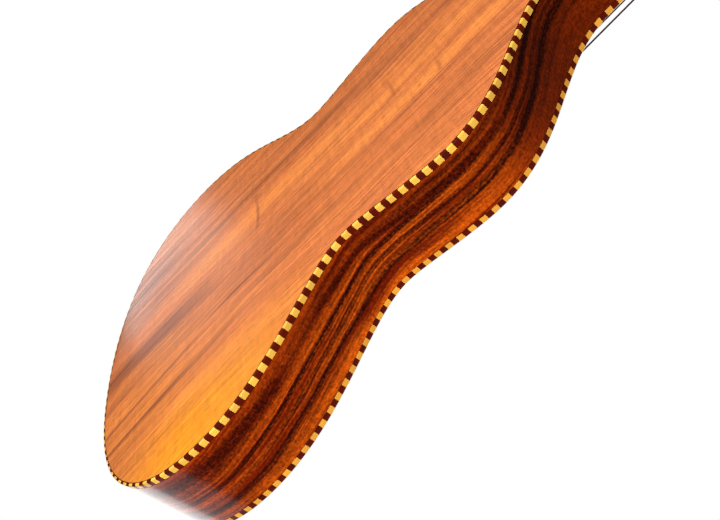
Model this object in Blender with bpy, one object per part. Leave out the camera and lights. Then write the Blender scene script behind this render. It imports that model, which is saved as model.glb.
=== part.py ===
"""Hollow-neck lap steel guitar, lying on its back with its strings up and its head towards +X."""
import math

import bmesh
import bpy
import numpy as np
from mathutils import Matrix, Vector

# Clearance left between pieces that touch, and between a turning piece and its hole
GAP = 0.0003
RUNNING_GAP = 0.0003

# Plan outline: stations from the tail along the centre line, half widths and curve radii there.
# The tail's flatness is the share of the half width over which it stays nearly straight.
LOWER_BOUT_X = 0.1314
LOWER_BOUT_HALF = 0.195
LOWER_BOUT_RADIUS = 0.142
TAIL_FLATNESS = 0.8
WAIST_X = 0.3038
WAIST_HALF = 0.113
WAIST_RADIUS = 0.038
UPPER_BOUT_X = 0.3973
UPPER_BOUT_HALF = 0.1294
UPPER_BOUT_RADIUS = 0.078
NECK_X = 0.5417
NECK_HALF = 0.0383
NECK_RADIUS = 0.050
NECK_END_HALF = 0.027

# Strings
SCALE_LENGTH = 0.635
STRING_RADII = (0.00071, 0.00055, 0.00044, 0.00034, 0.00025, 0.00020)
STRING_UNDERSIDE = 0.0123
NUT_SPREAD = 0.044
BRIDGE_SPREAD = 0.054
BALL_RADIUS = 0.0019
WINDING_TURNS = 2
WINDING_GAP = 0.00045
LOOP_POINTS = 24

# Box
NUT_X = 0.806
NUT_LENGTH = 0.006
TAIL_DEPTH = 0.0781
NECK_END_DEPTH = 0.0497
RIM_LIFT_TAIL = 0.0035
RIM_LIFT_HEAD = 0.0010
REST_STRIP_HALF = 0.015
ARCH_RUN_IN = 0.080
BACK_THICKNESS = 0.0028
TOP_THICKNESS = 0.0028
SIDE_THICKNESS = 0.0022
BINDING_THICKNESS = 0.0020
BINDING_HEIGHT = 0.0052
LINING_THICKNESS = 0.006
LINING_HEIGHT = 0.013
TAIL_BLOCK_LENGTH = 0.022
TAIL_BLOCK_HALF = 0.035
NECK_BLOCK_LENGTH = 0.046
END_CAP_THICKNESS = 0.0018

# Face
SOUNDHOLE_X = 0.335
SOUNDHOLE_RADIUS = 0.043
SOUNDHOLE_BINDING_WIDTH = 0.003
FINGERBOARD_END_X = 0.380
FINGERBOARD_THICKNESS = 0.004
FINGERBOARD_NUT_HALF = 0.0245
FINGERBOARD_END_HALF = 0.0300
NUT_HALF = 0.0245
NUT_LIP = 0.0006

# Bridge, measured from the saddle
BRIDGE_FRONT = 0.0105
BRIDGE_REAR = 0.0205
BRIDGE_HEIGHT = 0.008
BRIDGE_BLOCK_HALF = 0.036
BRIDGE_HALF = 0.082
BRIDGE_WING_HEIGHT = 0.0042
BRIDGE_CHAMFER = 0.0012
BRIDGE_WING_SHARES = ((0.84, 1.0), (0.62, 0.8), (0.42, 0.6))
BRIDGE_WING_BEND = 0.94
SADDLE_THICKNESS = 0.003
SADDLE_HALF = 0.034
SADDLE_SLOT_DEPTH = 0.005
SADDLE_CROWN_HALF = 0.0007
PIN_SETBACK = 0.013
PIN_RADIUS = 0.0025
PIN_HEAD_RADIUS = 0.0033
PIN_HEAD_HEIGHT = 0.0042
PIN_HEAD_SHARES = ((1.0, 0.15), (1.0, 0.55), (0.55, 0.95), (0.1, 1.0))
PIN_TIP_SHARE = 0.75
BRIDGE_PLATE_THICKNESS = 0.003
BRIDGE_PLATE_HALF = 0.042
BRIDGE_PLATE_REAR = 0.024
BRIDGE_PLATE_FRONT = 0.014

# Braces
X_BRACE_SLOPE = 0.8
X_BRACE_WIDTH = 0.007
X_BRACE_PLATE_GAP = 0.0015
X_BRACE_LINING_GAP = 0.006
X_BRACE_FRONT_GAP = 0.056
X_BRACE_HEIGHT = 0.014
UPPER_BRACE_X = 0.430
UPPER_BRACE_WIDTH = 0.012
UPPER_BRACE_HEIGHT = 0.011
BACK_BRACE_X = (0.100, 0.240, 0.400)
BACK_BRACE_WIDTH = 0.008
BACK_BRACE_HEIGHT = 0.012
BRACE_END_HEIGHT = 0.004
BRACE_END_SHARE = 0.15

# Head
HEAD_ANGLE = math.radians(7.0)
HEAD_LENGTH = 0.138
HEAD_THICKNESS = 0.013
VENEER_THICKNESS = 0.0018
HEAD_SHOULDER_X = 0.020
HEAD_SHOULDER_HALF = 0.0328
HEAD_TOP_HALF = 0.0360
HEAD_CREST = 0.008
HEAD_CREST_POWER = 1.8
POST_FIRST_X = 0.032
POST_SPACING = 0.035
POST_ROW_HALF = 0.024
POST_RADIUS = 0.0030
POST_ABOVE_FACE = 0.0125
POST_TIP_CHAMFER = 0.0006
WINDING_ABOVE_FACE = 0.0042
BUSHING_RADIUS = 0.0046
BUSHING_DEPTH = 0.006
BUSHING_FLANGE_RADIUS = 0.0056
BUSHING_FLANGE_HEIGHT = 0.0012

# Tuning machines: a single-start worm turns a gear on each post
GEAR_TEETH = 14
GEAR_MODULE = 0.0007
GEAR_THICKNESS = 0.0034
GEAR_SCREW_RADIUS = 0.0019
GEAR_SCREW_HEIGHT = 0.0008
TOOTH_BACKLASH = 0.00035
TOOTH_FLANK_ANGLE = math.radians(20.0)
WORM_PITCH_RADIUS = 0.0024
WORM_TURNS = 2
WORM_SEGMENTS = 9
SHAFT_RADIUS = 0.0012
MACHINE_PLATE_THICKNESS = 0.0012
MACHINE_PLATE_HALF = 0.0075
MACHINE_PLATE_OVERHANG = 0.019
LUG_THICKNESS = 0.0012
LUG_HALF = 0.0032
KNOB_REACH = 0.0195
KNOB_HALF_LENGTH = 0.0065
KNOB_HALF_WIDTH = 0.0080
KNOB_HALF_THICKNESS = 0.0032

# Mesh steps
TAIL_STEPS = 10
WAIST_STEPS = 10
UPPER_STEPS = 6
SHOULDER_STEPS = 11
NECK_STEPS = 3
TAIL_FIRST_STEP = 0.35
PLATE_COLUMNS = 3
SOUNDHOLE_SIDES = 36
SMALL_ROUND_SIDES = 10
SHAFT_SIDES = 12
HEAD_SHOULDER_STEPS = 3
HEAD_CREST_STEPS = 5
LUG_STEPS = 6
BUTTON_SIDES = 10
BUTTON_RINGS = 7

# Worked out from the sizes above
BODY_END_X = NUT_X + NUT_LENGTH
SADDLE_X = NUT_X - SCALE_LENGTH
TOP_SLOPE = (TAIL_DEPTH + RIM_LIFT_TAIL - NECK_END_DEPTH - RIM_LIFT_HEAD) / BODY_END_X
TOP_TILT = math.atan(TOP_SLOPE)
HEAD_TILT = TOP_TILT + HEAD_ANGLE
HEAD_X = BODY_END_X + GAP
HEAD_UNDER = -(VENEER_THICKNESS + GAP + HEAD_THICKNESS)
CENTRE_X = (HEAD_X + HEAD_LENGTH * math.cos(HEAD_TILT)) / 2
THREAD_PITCH = math.pi * GEAR_MODULE
TOOTH_ROOT = 1.25 * GEAR_MODULE
GEAR_PITCH_RADIUS = GEAR_TEETH * GEAR_MODULE / 2
WORM_DISTANCE = GEAR_PITCH_RADIUS + WORM_PITCH_RADIUS
WORM_CREST_RADIUS = WORM_PITCH_RADIUS + GEAR_MODULE
WORM_HALF_LENGTH = THREAD_PITCH * (WORM_TURNS + 1) / 2
PLATE_UNDER = -GAP - MACHINE_PLATE_THICKNESS
WORM_Z = PLATE_UNDER - GAP - WORM_CREST_RADIUS
LUG_INNER = WORM_HALF_LENGTH + 2 * RUNNING_GAP
PLATE_INSET = BINDING_THICKNESS + GAP
LINING_INSET = SIDE_THICKNESS + GAP
BRACE_INSET = LINING_INSET + LINING_THICKNESS + GAP
PIN_HOLE_RADIUS = PIN_RADIUS + GAP
STRING_SLOT_HALF = STRING_RADII[0] + GAP
PIN_SLOT_REACH = PIN_HEAD_RADIUS + STRING_SLOT_HALF
POST_XS = [POST_FIRST_X + i * POST_SPACING for i in range(3)]


# Scene, materials and objects

def clear_scene():
    for obj in list(bpy.data.objects):
        bpy.data.objects.remove(obj, do_unlink=True)


def make_material(name, colour, roughness, metallic=0.0):
    mat = bpy.data.materials.new(name)
    mat.use_nodes = True
    shader = mat.node_tree.nodes["Principled BSDF"]
    shader.inputs["Base Color"].default_value = (*colour, 1.0)
    shader.inputs["Roughness"].default_value = roughness
    shader.inputs["Metallic"].default_value = metallic
    mat.diffuse_color = (*colour, 1.0)
    return mat


def make_materials():
    return {
        "koa_back": make_material("koa_back", (0.55, 0.20, 0.05), 0.25),
        "koa_side": make_material("koa_side", (0.20, 0.05, 0.02), 0.25),
        "koa_top": make_material("koa_top", (0.50, 0.19, 0.06), 0.28),
        "mahogany": make_material("mahogany", (0.28, 0.11, 0.05), 0.6),
        "spruce": make_material("spruce", (0.66, 0.50, 0.30), 0.7),
        "rope_binding": make_material("rope_binding", (0.62, 0.38, 0.14), 0.3),
        "rosewood": make_material("rosewood", (0.07, 0.03, 0.02), 0.4),
        "bone": make_material("bone", (0.86, 0.80, 0.66), 0.35),
        "nickel": make_material("nickel", (0.72, 0.70, 0.66), 0.25, 1.0),
        "steel_string": make_material("steel_string", (0.75, 0.75, 0.76), 0.25, 1.0),
        "bronze_string": make_material("bronze_string", (0.62, 0.38, 0.16), 0.3, 1.0),
        "knob_cream": make_material("knob_cream", (0.84, 0.74, 0.54), 0.3),
    }


def make_empty(name, parent, location, tilt=0.0):
    """An empty tilted nose down about Y, to hang pieces on."""
    empty = bpy.data.objects.new(name, None)
    bpy.context.scene.collection.objects.link(empty)
    empty.parent = parent
    empty.location = location
    empty.rotation_euler = (0.0, tilt, 0.0)
    return empty


def add_object(name, mesh, parent, mat):
    obj = bpy.data.objects.new(name, mesh)
    bpy.context.scene.collection.objects.link(obj)
    obj.parent = parent
    if mat and not mesh.materials:
        mesh.materials.append(mat)
    return obj


def add_cutter(name, mesh, parent):
    obj = add_object(name, mesh, parent, None)
    obj.hide_render = True
    obj.display_type = "WIRE"
    return obj


def apply_boolean(obj, tool, operation):
    modifier = obj.modifiers.new(operation.lower(), "BOOLEAN")
    modifier.operation = operation
    modifier.object = tool
    modifier.solver = "EXACT"


def cut(obj, tool):
    apply_boolean(obj, tool, "DIFFERENCE")


def join(obj, tool):
    apply_boolean(obj, tool, "UNION")


def fused_mesh(name, meshes):
    """One closed mesh, the Boolean union of several that overlap."""
    parts = [add_object(name + "_part", mesh, None, None) for mesh in meshes]
    for other in parts[1:]:
        join(parts[0], other)
    depsgraph = bpy.context.evaluated_depsgraph_get()
    mesh = bpy.data.meshes.new_from_object(parts[0].evaluated_get(depsgraph))
    mesh.name = name
    for part in parts:
        bpy.data.objects.remove(part, do_unlink=True)
    return finish_mesh(mesh)


# Mesh builders

def finish_mesh(mesh):
    mesh.shade_smooth()
    mesh.set_sharp_from_angle(angle=math.radians(35.0))
    return mesh


def mesh_from(name, build):
    """A mesh whose faces point out, from a function that fills a bmesh."""
    bm = bmesh.new()
    build(bm)
    bmesh.ops.recalc_face_normals(bm, faces=bm.faces)
    mesh = bpy.data.meshes.new(name)
    bm.to_mesh(mesh)
    bm.free()
    return finish_mesh(mesh)


def add_loft(bm, rings, closed=False):
    """Skin a row of rings that have equal counts: capped at both ends, or closed into a loop."""
    loops = [[bm.verts.new(point) for point in ring] for ring in rings]
    pairs = list(zip(loops, loops[1:]))
    if closed:
        pairs.append((loops[-1], loops[0]))
    for ring_a, ring_b in pairs:
        for i in range(len(ring_a)):
            j = (i + 1) % len(ring_a)
            bm.faces.new((ring_a[i], ring_a[j], ring_b[j], ring_b[i]))
    if not closed:
        bm.faces.new(loops[0])
        bm.faces.new(loops[-1])


def loft(name, rings, closed=False):
    return mesh_from(name, lambda bm: add_loft(bm, rings, closed))


def circle(radius, sides, phase=0.0):
    angles = [phase + 2 * math.pi * i / sides for i in range(sides)]
    return [(radius * math.cos(a), radius * math.sin(a)) for a in angles]


def turned_rings(profile, sides, centre=(0.0, 0.0)):
    """Rings of a solid turned about Z, from its (radius, height) steps."""
    return [
        [(centre[0] + x, centre[1] + y, height) for x, y in circle(radius, sides)]
        for radius, height in profile
    ]


def turned(name, profile, sides, centres=((0.0, 0.0),)):
    def build(bm):
        for centre in centres:
            add_loft(bm, turned_rings(profile, sides, centre))
    return mesh_from(name, build)


def turned_tube(name, section, sides):
    """A ring turned about Z, from its closed (radius, height) section."""
    rings = []
    for x, y in circle(1.0, sides):
        rings.append([(x * radius, y * radius, height) for radius, height in section])
    return loft(name, rings, closed=True)


def prism(name, outline, low, high):
    """An outline in plan, given height: low and high are numbers or functions of x."""
    def height(level, x):
        return level(x) if callable(level) else level
    bottom = [(x, y, height(low, x)) for x, y in outline]
    top = [(x, y, height(high, x)) for x, y in outline]
    return loft(name, [bottom, top])


def box(name, x_range, y_range, z_range):
    outline = [
        (x_range[0], y_range[0]), (x_range[1], y_range[0]),
        (x_range[1], y_range[1]), (x_range[0], y_range[1]),
    ]
    return prism(name, outline, *z_range)


# Plan outline of the guitar

def bezier(points, t):
    u = 1 - t
    weights = (u ** 3, 3 * u * u * t, 3 * u * t * t, t ** 3)
    return sum(w * np.array(p) for w, p in zip(weights, points))


def handle(rise, radius):
    """Length of a Bezier handle that gives this radius of curvature at a level station."""
    return math.sqrt(2 / 3 * abs(rise) * radius)


def tail_curve():
    """From the tail's middle, square to the centre line, to the lower bout."""
    tail = TAIL_FLATNESS * LOWER_BOUT_HALF
    lower = handle(LOWER_BOUT_HALF - tail, LOWER_BOUT_RADIUS)
    return [
        (0.0, 0.0), (0.0, tail),
        (LOWER_BOUT_X - lower, LOWER_BOUT_HALF), (LOWER_BOUT_X, LOWER_BOUT_HALF),
    ]


def station_curve(start, end):
    """Between two stations (x, half width, radius) where the outline runs level."""
    rise = end[1] - start[1]
    return [
        start[:2], (start[0] + handle(rise, start[2]), start[1]),
        (end[0] - handle(rise, end[2]), end[1]), end[:2],
    ]


def half_outline():
    """Stations (x, y, inward normal x, inward normal y) from the tail to the neck's end."""
    lower = (LOWER_BOUT_X, LOWER_BOUT_HALF, LOWER_BOUT_RADIUS)
    waist = (WAIST_X, WAIST_HALF, WAIST_RADIUS)
    upper = (UPPER_BOUT_X, UPPER_BOUT_HALF, UPPER_BOUT_RADIUS)
    neck = (NECK_X, NECK_HALF, NECK_RADIUS)
    first = TAIL_FIRST_STEP
    points = [
        bezier(tail_curve(), (k + first) / (TAIL_STEPS + first)) for k in range(TAIL_STEPS + 1)
    ]
    points[0][0] = 0.0
    for start, end, steps in (
        (lower, waist, WAIST_STEPS), (waist, upper, UPPER_STEPS), (upper, neck, SHOULDER_STEPS),
    ):
        curve = station_curve(start, end)
        points += [bezier(curve, k / steps) for k in range(1, steps + 1)]
    neck_end = np.array((BODY_END_X, NECK_END_HALF))
    for k in range(1, NECK_STEPS + 1):
        points.append(np.array(neck[:2]) + (neck_end - np.array(neck[:2])) * k / NECK_STEPS)
    stations = [np.array((*points[0], 1.0, 0.0))]
    for before, here, after in zip(points, points[1:], points[2:]):
        run = after - before
        run = run / np.linalg.norm(run)
        stations.append(np.array((*here, run[1], -run[0])))
    stations.append(np.array((*points[-1], 0.0, -1.0)))
    return stations


STATIONS = half_outline()


def inset(station, distance):
    return station[0] + station[2] * distance, station[1] + station[3] * distance


def station_where(axis, value, distance=0.0):
    """The first station whose point, drawn in by this distance, has this x (0) or y (1)."""
    for first, second in zip(STATIONS, STATIONS[1:]):
        low, high = inset(first, distance)[axis], inset(second, distance)[axis]
        if low <= value <= high:
            return first + (second - first) * (value - low) / (high - low)
    return STATIONS[-1]


def stations_from(start, end):
    """The stations strictly between two others, with those two at the ends."""
    inner = [s for s in STATIONS if start[0] < s[0] < end[0]]
    return [start] + inner + [end]


def half_width(x, distance=0.0):
    """Half width of the outline, drawn in by this distance, across the guitar at x."""
    line = [inset(station, distance) for station in STATIONS]
    return float(np.interp(x, [p[0] for p in line], [p[1] for p in line]))


# Heights of the box

def rim_z(x):
    """Height of the back's rim, which rises above the flat strip that the guitar rests on."""
    return RIM_LIFT_TAIL + (RIM_LIFT_HEAD - RIM_LIFT_TAIL) * x / BODY_END_X


def top_z(x):
    return RIM_LIFT_TAIL + TAIL_DEPTH - TOP_SLOPE * x


def under_top(x):
    return top_z(x) - TOP_THICKNESS - GAP


def over_back_rim(x):
    return rim_z(x) + BACK_THICKNESS + GAP


def back_columns(x, half):
    """(y, z) of the back's underside across the guitar, on the bass side of the centre line."""
    run = min(x / ARCH_RUN_IN, 1.0)
    arch = rim_z(x) * (1 - (1 - run) ** 2)
    middle = min(REST_STRIP_HALF, half / 2)
    shares = [k / PLATE_COLUMNS for k in range(PLATE_COLUMNS + 1)]
    return [(middle + (half - middle) * s, rim_z(x) - arch * (1 - s * s)) for s in shares]


def back_under(x, y):
    columns = back_columns(x, half_width(x, PLATE_INSET))
    return float(np.interp(abs(y), [c[0] for c in columns], [c[1] for c in columns]))


def along_top(x):
    """Distance along the soundboard's tilted plane of a point that is this far from the tail."""
    return x / math.cos(TOP_TILT)


# Box pieces

def build_back_plate(root, mats):
    rings = []
    for station in STATIONS:
        x, half = inset(station, PLATE_INSET)
        columns = back_columns(x, half)
        under = [(-y, z) for y, z in reversed(columns)] + columns
        ring = [(x, y, z) for y, z in under]
        ring += [(x, y, z + BACK_THICKNESS) for y, z in reversed(under)]
        rings.append(ring)
    add_object("back_plate", loft("back_plate", rings), root, mats["koa_back"])


def build_soundboard(root, mats, cutters):
    rings = []
    for station in STATIONS:
        x, half = inset(station, PLATE_INSET)
        low = top_z(x) - TOP_THICKNESS
        rings.append([(x, -half, low), (x, half, low), (x, half, top_z(x)), (x, -half, top_z(x))])
    board = add_object("soundboard", loft("soundboard", rings), root, mats["koa_top"])
    cut(board, cutters["soundhole"])
    cut(board, cutters["pin_slots"])


def wall_rings(stations, side, outer, inner, low, high):
    """Rings of a wall that follows the outline between two insets and two heights."""
    rings = []
    for station in stations:
        ring = []
        for distance, level in ((outer, low), (outer, high), (inner, high), (inner, low)):
            x, y = inset(station, distance)
            ring.append((x, side * y, level(x)))
        rings.append(ring)
    return rings


def build_side(name, side, root, mats):
    tail = np.array((0.0, GAP / 2, 1.0, 0.0))
    rings = wall_rings(
        [tail] + STATIONS, side, 0.0, SIDE_THICKNESS,
        lambda x: rim_z(x) + BINDING_HEIGHT + GAP, lambda x: top_z(x) - BINDING_HEIGHT - GAP,
    )
    add_object(name, loft(name, rings), root, mats["koa_side"])


def build_binding(name, low, high, root, mats):
    treble = wall_rings(STATIONS, -1, 0.0, BINDING_THICKNESS, low, high)
    bass = wall_rings(STATIONS, 1, 0.0, BINDING_THICKNESS, low, high)
    add_object(name, loft(name, treble[::-1] + bass), root, mats["rope_binding"])


def build_lining(name, side, low, high, root, mats):
    inner = LINING_INSET + LINING_THICKNESS
    start = station_where(1, TAIL_BLOCK_HALF + GAP, inner)
    end = station_where(0, BODY_END_X - NECK_BLOCK_LENGTH - GAP, inner)
    rings = wall_rings(stations_from(start, end), side, LINING_INSET, inner, low, high)
    add_object(name, loft(name, rings), root, mats["mahogany"])


def build_blocks(root, mats):
    stations = [STATIONS[0], station_where(1, TAIL_BLOCK_HALF, LINING_INSET)]
    outer = [inset(s, LINING_INSET) for s in stations]
    half = [(x, y) for x, y in outer] + [(TAIL_BLOCK_LENGTH, TAIL_BLOCK_HALF)]
    outline = half + [(x, -y) for x, y in reversed(half)]
    mesh = prism("tail_block", outline, over_back_rim, under_top)
    add_object("tail_block", mesh, root, mats["mahogany"])

    start = BODY_END_X - NECK_BLOCK_LENGTH
    outline = []
    for x in (start, BODY_END_X):
        outline.append((x, half_width(x) - LINING_INSET - GAP))
    outline += [(x, -y) for x, y in reversed(outline)]
    mesh = prism("neck_block", outline, over_back_rim, under_top)
    add_object("neck_block", mesh, root, mats["mahogany"])

    head_under_z = top_z(BODY_END_X) + HEAD_UNDER / math.cos(HEAD_TILT)
    cap_end = HEAD_X + END_CAP_THICKNESS
    mesh = box(
        "neck_end_cap", (HEAD_X, cap_end), (-NECK_END_HALF, NECK_END_HALF),
        (rim_z, lambda x: head_under_z - GAP - (x - HEAD_X) * math.tan(HEAD_TILT)),
    )
    add_object("neck_end_cap", mesh, root, mats["koa_side"])


def build_back_braces(root, mats):
    for number, x in enumerate(BACK_BRACE_X, 1):
        name = f"back_brace_{number}"
        edges = (x - BACK_BRACE_WIDTH / 2, x + BACK_BRACE_WIDTH / 2)
        reach = min(half_width(e, BRACE_INSET) for e in edges)
        knots = [y for y, _ in back_columns(x, half_width(x, PLATE_INSET)) if y < reach] + [reach]
        rings = []
        for y in [-k for k in reversed(knots)] + knots:
            height = BACK_BRACE_HEIGHT if abs(y) < reach else BRACE_END_HEIGHT
            low = [max(back_under(e, y), back_under(x, y)) + BACK_THICKNESS + GAP for e in edges]
            rings.append([
                (edges[0], y, low[0]), (edges[1], y, low[1]),
                (edges[1], y, low[1] + height), (edges[0], y, low[0] + height),
            ])
        add_object(name, loft(name, rings), root, mats["spruce"])


# Pieces on the soundboard, in the frame of its tilted plane

def bar(name, start, end, width, top, height, end_height):
    """A brace under the soundboard between two plan points, thinner at its ends."""
    start, end = Vector(start), Vector(end)
    across = (end - start).normalized().orthogonal() * width / 2
    rings = []
    for share, depth in (
        (0.0, end_height), (BRACE_END_SHARE, height), (1.0 - BRACE_END_SHARE, height), (1.0, end_height),
    ):
        middle = start.lerp(end, share)
        left, right = middle - across, middle + across
        rings.append([
            (left.x, left.y, top), (right.x, right.y, top),
            (right.x, right.y, top - depth), (left.x, left.y, top - depth),
        ])
    return loft(name, rings)


def x_brace_reach(crossing, direction):
    """Where an X brace, run from the crossing to the tail (-1) or the head (1), meets the lining."""
    inner = BRACE_INSET + X_BRACE_LINING_GAP
    line = [inset(station, inner) for station in STATIONS]
    inside = [(x, y - X_BRACE_SLOPE * abs(x - crossing)) for x, y in line]
    pairs = zip(inside, inside[1:])
    meets = []
    for (x_a, room_a), (x_b, room_b) in pairs:
        if room_a * room_b <= 0 and (x_a - crossing) * direction > 0:
            meets.append(x_a + (x_b - x_a) * room_a / (room_a - room_b))
    return min(meets, key=lambda x: abs(x - crossing))


def build_top_braces(top, mats):
    level = -TOP_THICKNESS - GAP
    across = X_BRACE_WIDTH / 2 * math.hypot(1.0, X_BRACE_SLOPE)
    ahead = (BRIDGE_PLATE_HALF + X_BRACE_PLATE_GAP + across) / X_BRACE_SLOPE
    crossing = SADDLE_X + BRIDGE_PLATE_FRONT + ahead
    front_stop = UPPER_BRACE_X - UPPER_BRACE_WIDTH / 2 - X_BRACE_FRONT_GAP
    reaches = (x_brace_reach(crossing, -1), min(x_brace_reach(crossing, 1), front_stop))
    ends = {}
    for side in (1, -1):
        ends[side] = [
            (along_top(x), side * X_BRACE_SLOPE * along_top(crossing - x)) for x in reaches
        ]
    half_lap = level - X_BRACE_HEIGHT / 2
    laps = {1: (level + GAP, half_lap - GAP / 2), -1: (half_lap + GAP / 2, level - 2 * X_BRACE_HEIGHT)}
    for side, name in ((1, "x_brace_bass"), (-1, "x_brace_treble")):
        mesh = bar(name, *ends[side], X_BRACE_WIDTH, level, X_BRACE_HEIGHT, BRACE_END_HEIGHT)
        brace = add_object(name, mesh, top, mats["spruce"])
        high, low = laps[side]
        depth = high - low
        lap = bar(name + "_lap", *ends[-side], X_BRACE_WIDTH + 2 * GAP, high, depth, depth)
        cut(brace, add_cutter(name + "_lap", lap, top))
    reach = half_width(UPPER_BRACE_X - UPPER_BRACE_WIDTH / 2, BRACE_INSET)
    reach = min(reach, half_width(UPPER_BRACE_X + UPPER_BRACE_WIDTH / 2, BRACE_INSET))
    at = along_top(UPPER_BRACE_X)
    mesh = bar(
        "upper_brace", (at, -reach), (at, reach), UPPER_BRACE_WIDTH, level,
        UPPER_BRACE_HEIGHT, BRACE_END_HEIGHT,
    )
    add_object("upper_brace", mesh, top, mats["spruce"])
    saddle = along_top(SADDLE_X)
    mesh = box(
        "bridge_plate", (saddle - BRIDGE_PLATE_REAR, saddle + BRIDGE_PLATE_FRONT),
        (-BRIDGE_PLATE_HALF, BRIDGE_PLATE_HALF), (level - BRIDGE_PLATE_THICKNESS, level),
    )
    return add_object("bridge_plate", mesh, top, mats["rosewood"])


def string_y(number, spread):
    """Strings run from the bass side, 0, to the treble side, 5."""
    return spread * (0.5 - number / (len(STRING_RADII) - 1))


def keyhole(centre):
    """Outline of a pin hole with the string's slot in front of it."""
    reach = PIN_SLOT_REACH + STRING_SLOT_HALF
    mouth = math.asin(STRING_SLOT_HALF / PIN_HOLE_RADIUS)
    steps = SMALL_ROUND_SIDES - 2
    outline = [(reach, -STRING_SLOT_HALF), (reach, STRING_SLOT_HALF)]
    for k in range(steps + 1):
        angle = mouth + (2 * math.pi - 2 * mouth) * k / steps
        outline.append((PIN_HOLE_RADIUS * math.cos(angle), PIN_HOLE_RADIUS * math.sin(angle)))
    return [(centre[0] + x, centre[1] + y) for x, y in outline]


def pin_centres():
    at = along_top(SADDLE_X) - PIN_SETBACK
    return [(at, string_y(i, BRIDGE_SPREAD)) for i in range(len(STRING_RADII))]


def build_top_cutters(top):
    at = along_top(SOUNDHOLE_X)
    radius = SOUNDHOLE_RADIUS + SOUNDHOLE_BINDING_WIDTH + GAP
    through = 4 * TOP_THICKNESS
    hole = turned("soundhole", [(radius, -through), (radius, through)], SOUNDHOLE_SIDES, [(at, 0.0)])
    reach = BRIDGE_HEIGHT + BRIDGE_PLATE_THICKNESS + 2 * TOP_THICKNESS

    def build(bm):
        for centre in pin_centres():
            outline = keyhole(centre)
            add_loft(bm, [[(x, y, z) for x, y in outline] for z in (-reach, reach)])
    return {
        "soundhole": add_cutter("soundhole_cutter", hole, top),
        "pin_slots": add_cutter("pin_slot_cutter", mesh_from("pin_slots", build), top),
    }


def build_bridge(top, mats, cutters):
    saddle = along_top(SADDLE_X)
    middle = saddle + (BRIDGE_FRONT - BRIDGE_REAR) / 2
    half = (BRIDGE_FRONT + BRIDGE_REAR) / 2
    wing_root = BRIDGE_BLOCK_HALF + BRIDGE_HEIGHT - BRIDGE_WING_HEIGHT
    stations = [(BRIDGE_BLOCK_HALF, half, BRIDGE_HEIGHT)]
    wing_ys = (wing_root, BRIDGE_WING_BEND * BRIDGE_HALF, BRIDGE_HALF)
    for y, (reach_share, height_share) in zip(wing_ys, BRIDGE_WING_SHARES):
        stations.append((y, reach_share * half, height_share * BRIDGE_WING_HEIGHT))
    rings = []
    for y, reach, height in [(-y, r, h) for y, r, h in reversed(stations)] + stations:
        shoulder = height - BRIDGE_CHAMFER
        inner = reach - BRIDGE_CHAMFER
        rings.append([
            (middle - reach, y, GAP), (middle + reach, y, GAP), (middle + reach, y, shoulder),
            (middle + inner, y, height), (middle - inner, y, height), (middle - reach, y, shoulder),
        ])
    bridge = add_object("bridge", loft("bridge", rings), top, mats["rosewood"])
    floor = BRIDGE_HEIGHT - SADDLE_SLOT_DEPTH
    slot_half = SADDLE_THICKNESS / 2 + GAP
    slot = box(
        "saddle_slot", (saddle - slot_half, saddle + slot_half),
        (-SADDLE_HALF - GAP, SADDLE_HALF + GAP), (floor, 2 * BRIDGE_HEIGHT),
    )
    cut(bridge, add_cutter("saddle_slot_cutter", slot, top))
    cut(bridge, cutters["pin_slots"])

    crown = STRING_UNDERSIDE - GAP
    shoulder = crown - (SADDLE_THICKNESS / 2 - SADDLE_CROWN_HALF)
    section = [
        (-SADDLE_THICKNESS / 2, floor + GAP), (SADDLE_THICKNESS / 2, floor + GAP),
        (SADDLE_THICKNESS / 2, shoulder), (SADDLE_CROWN_HALF, crown),
        (-SADDLE_CROWN_HALF, crown), (-SADDLE_THICKNESS / 2, shoulder),
    ]
    rings = [[(saddle + x, y, z) for x, z in section] for y in (-SADDLE_HALF, SADDLE_HALF)]
    add_object("saddle", loft("saddle", rings), top, mats["bone"])

    seat = BRIDGE_HEIGHT + GAP
    foot = -TOP_THICKNESS - GAP - BRIDGE_PLATE_THICKNESS / 2
    profile = [
        (PIN_TIP_SHARE * PIN_RADIUS, foot), (PIN_RADIUS, BRIDGE_HEIGHT - PIN_HEAD_HEIGHT / 2),
        (PIN_RADIUS, seat),
    ]
    for width, rise in PIN_HEAD_SHARES:
        profile.append((width * PIN_HEAD_RADIUS, seat + rise * PIN_HEAD_HEIGHT))
    mesh = turned("bridge_pin", profile, SMALL_ROUND_SIDES)
    for number, centre in enumerate(pin_centres(), 1):
        pin = add_object(f"bridge_pin_{number}", mesh, top, mats["bone"])
        pin.location = (*centre, 0.0)


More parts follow.
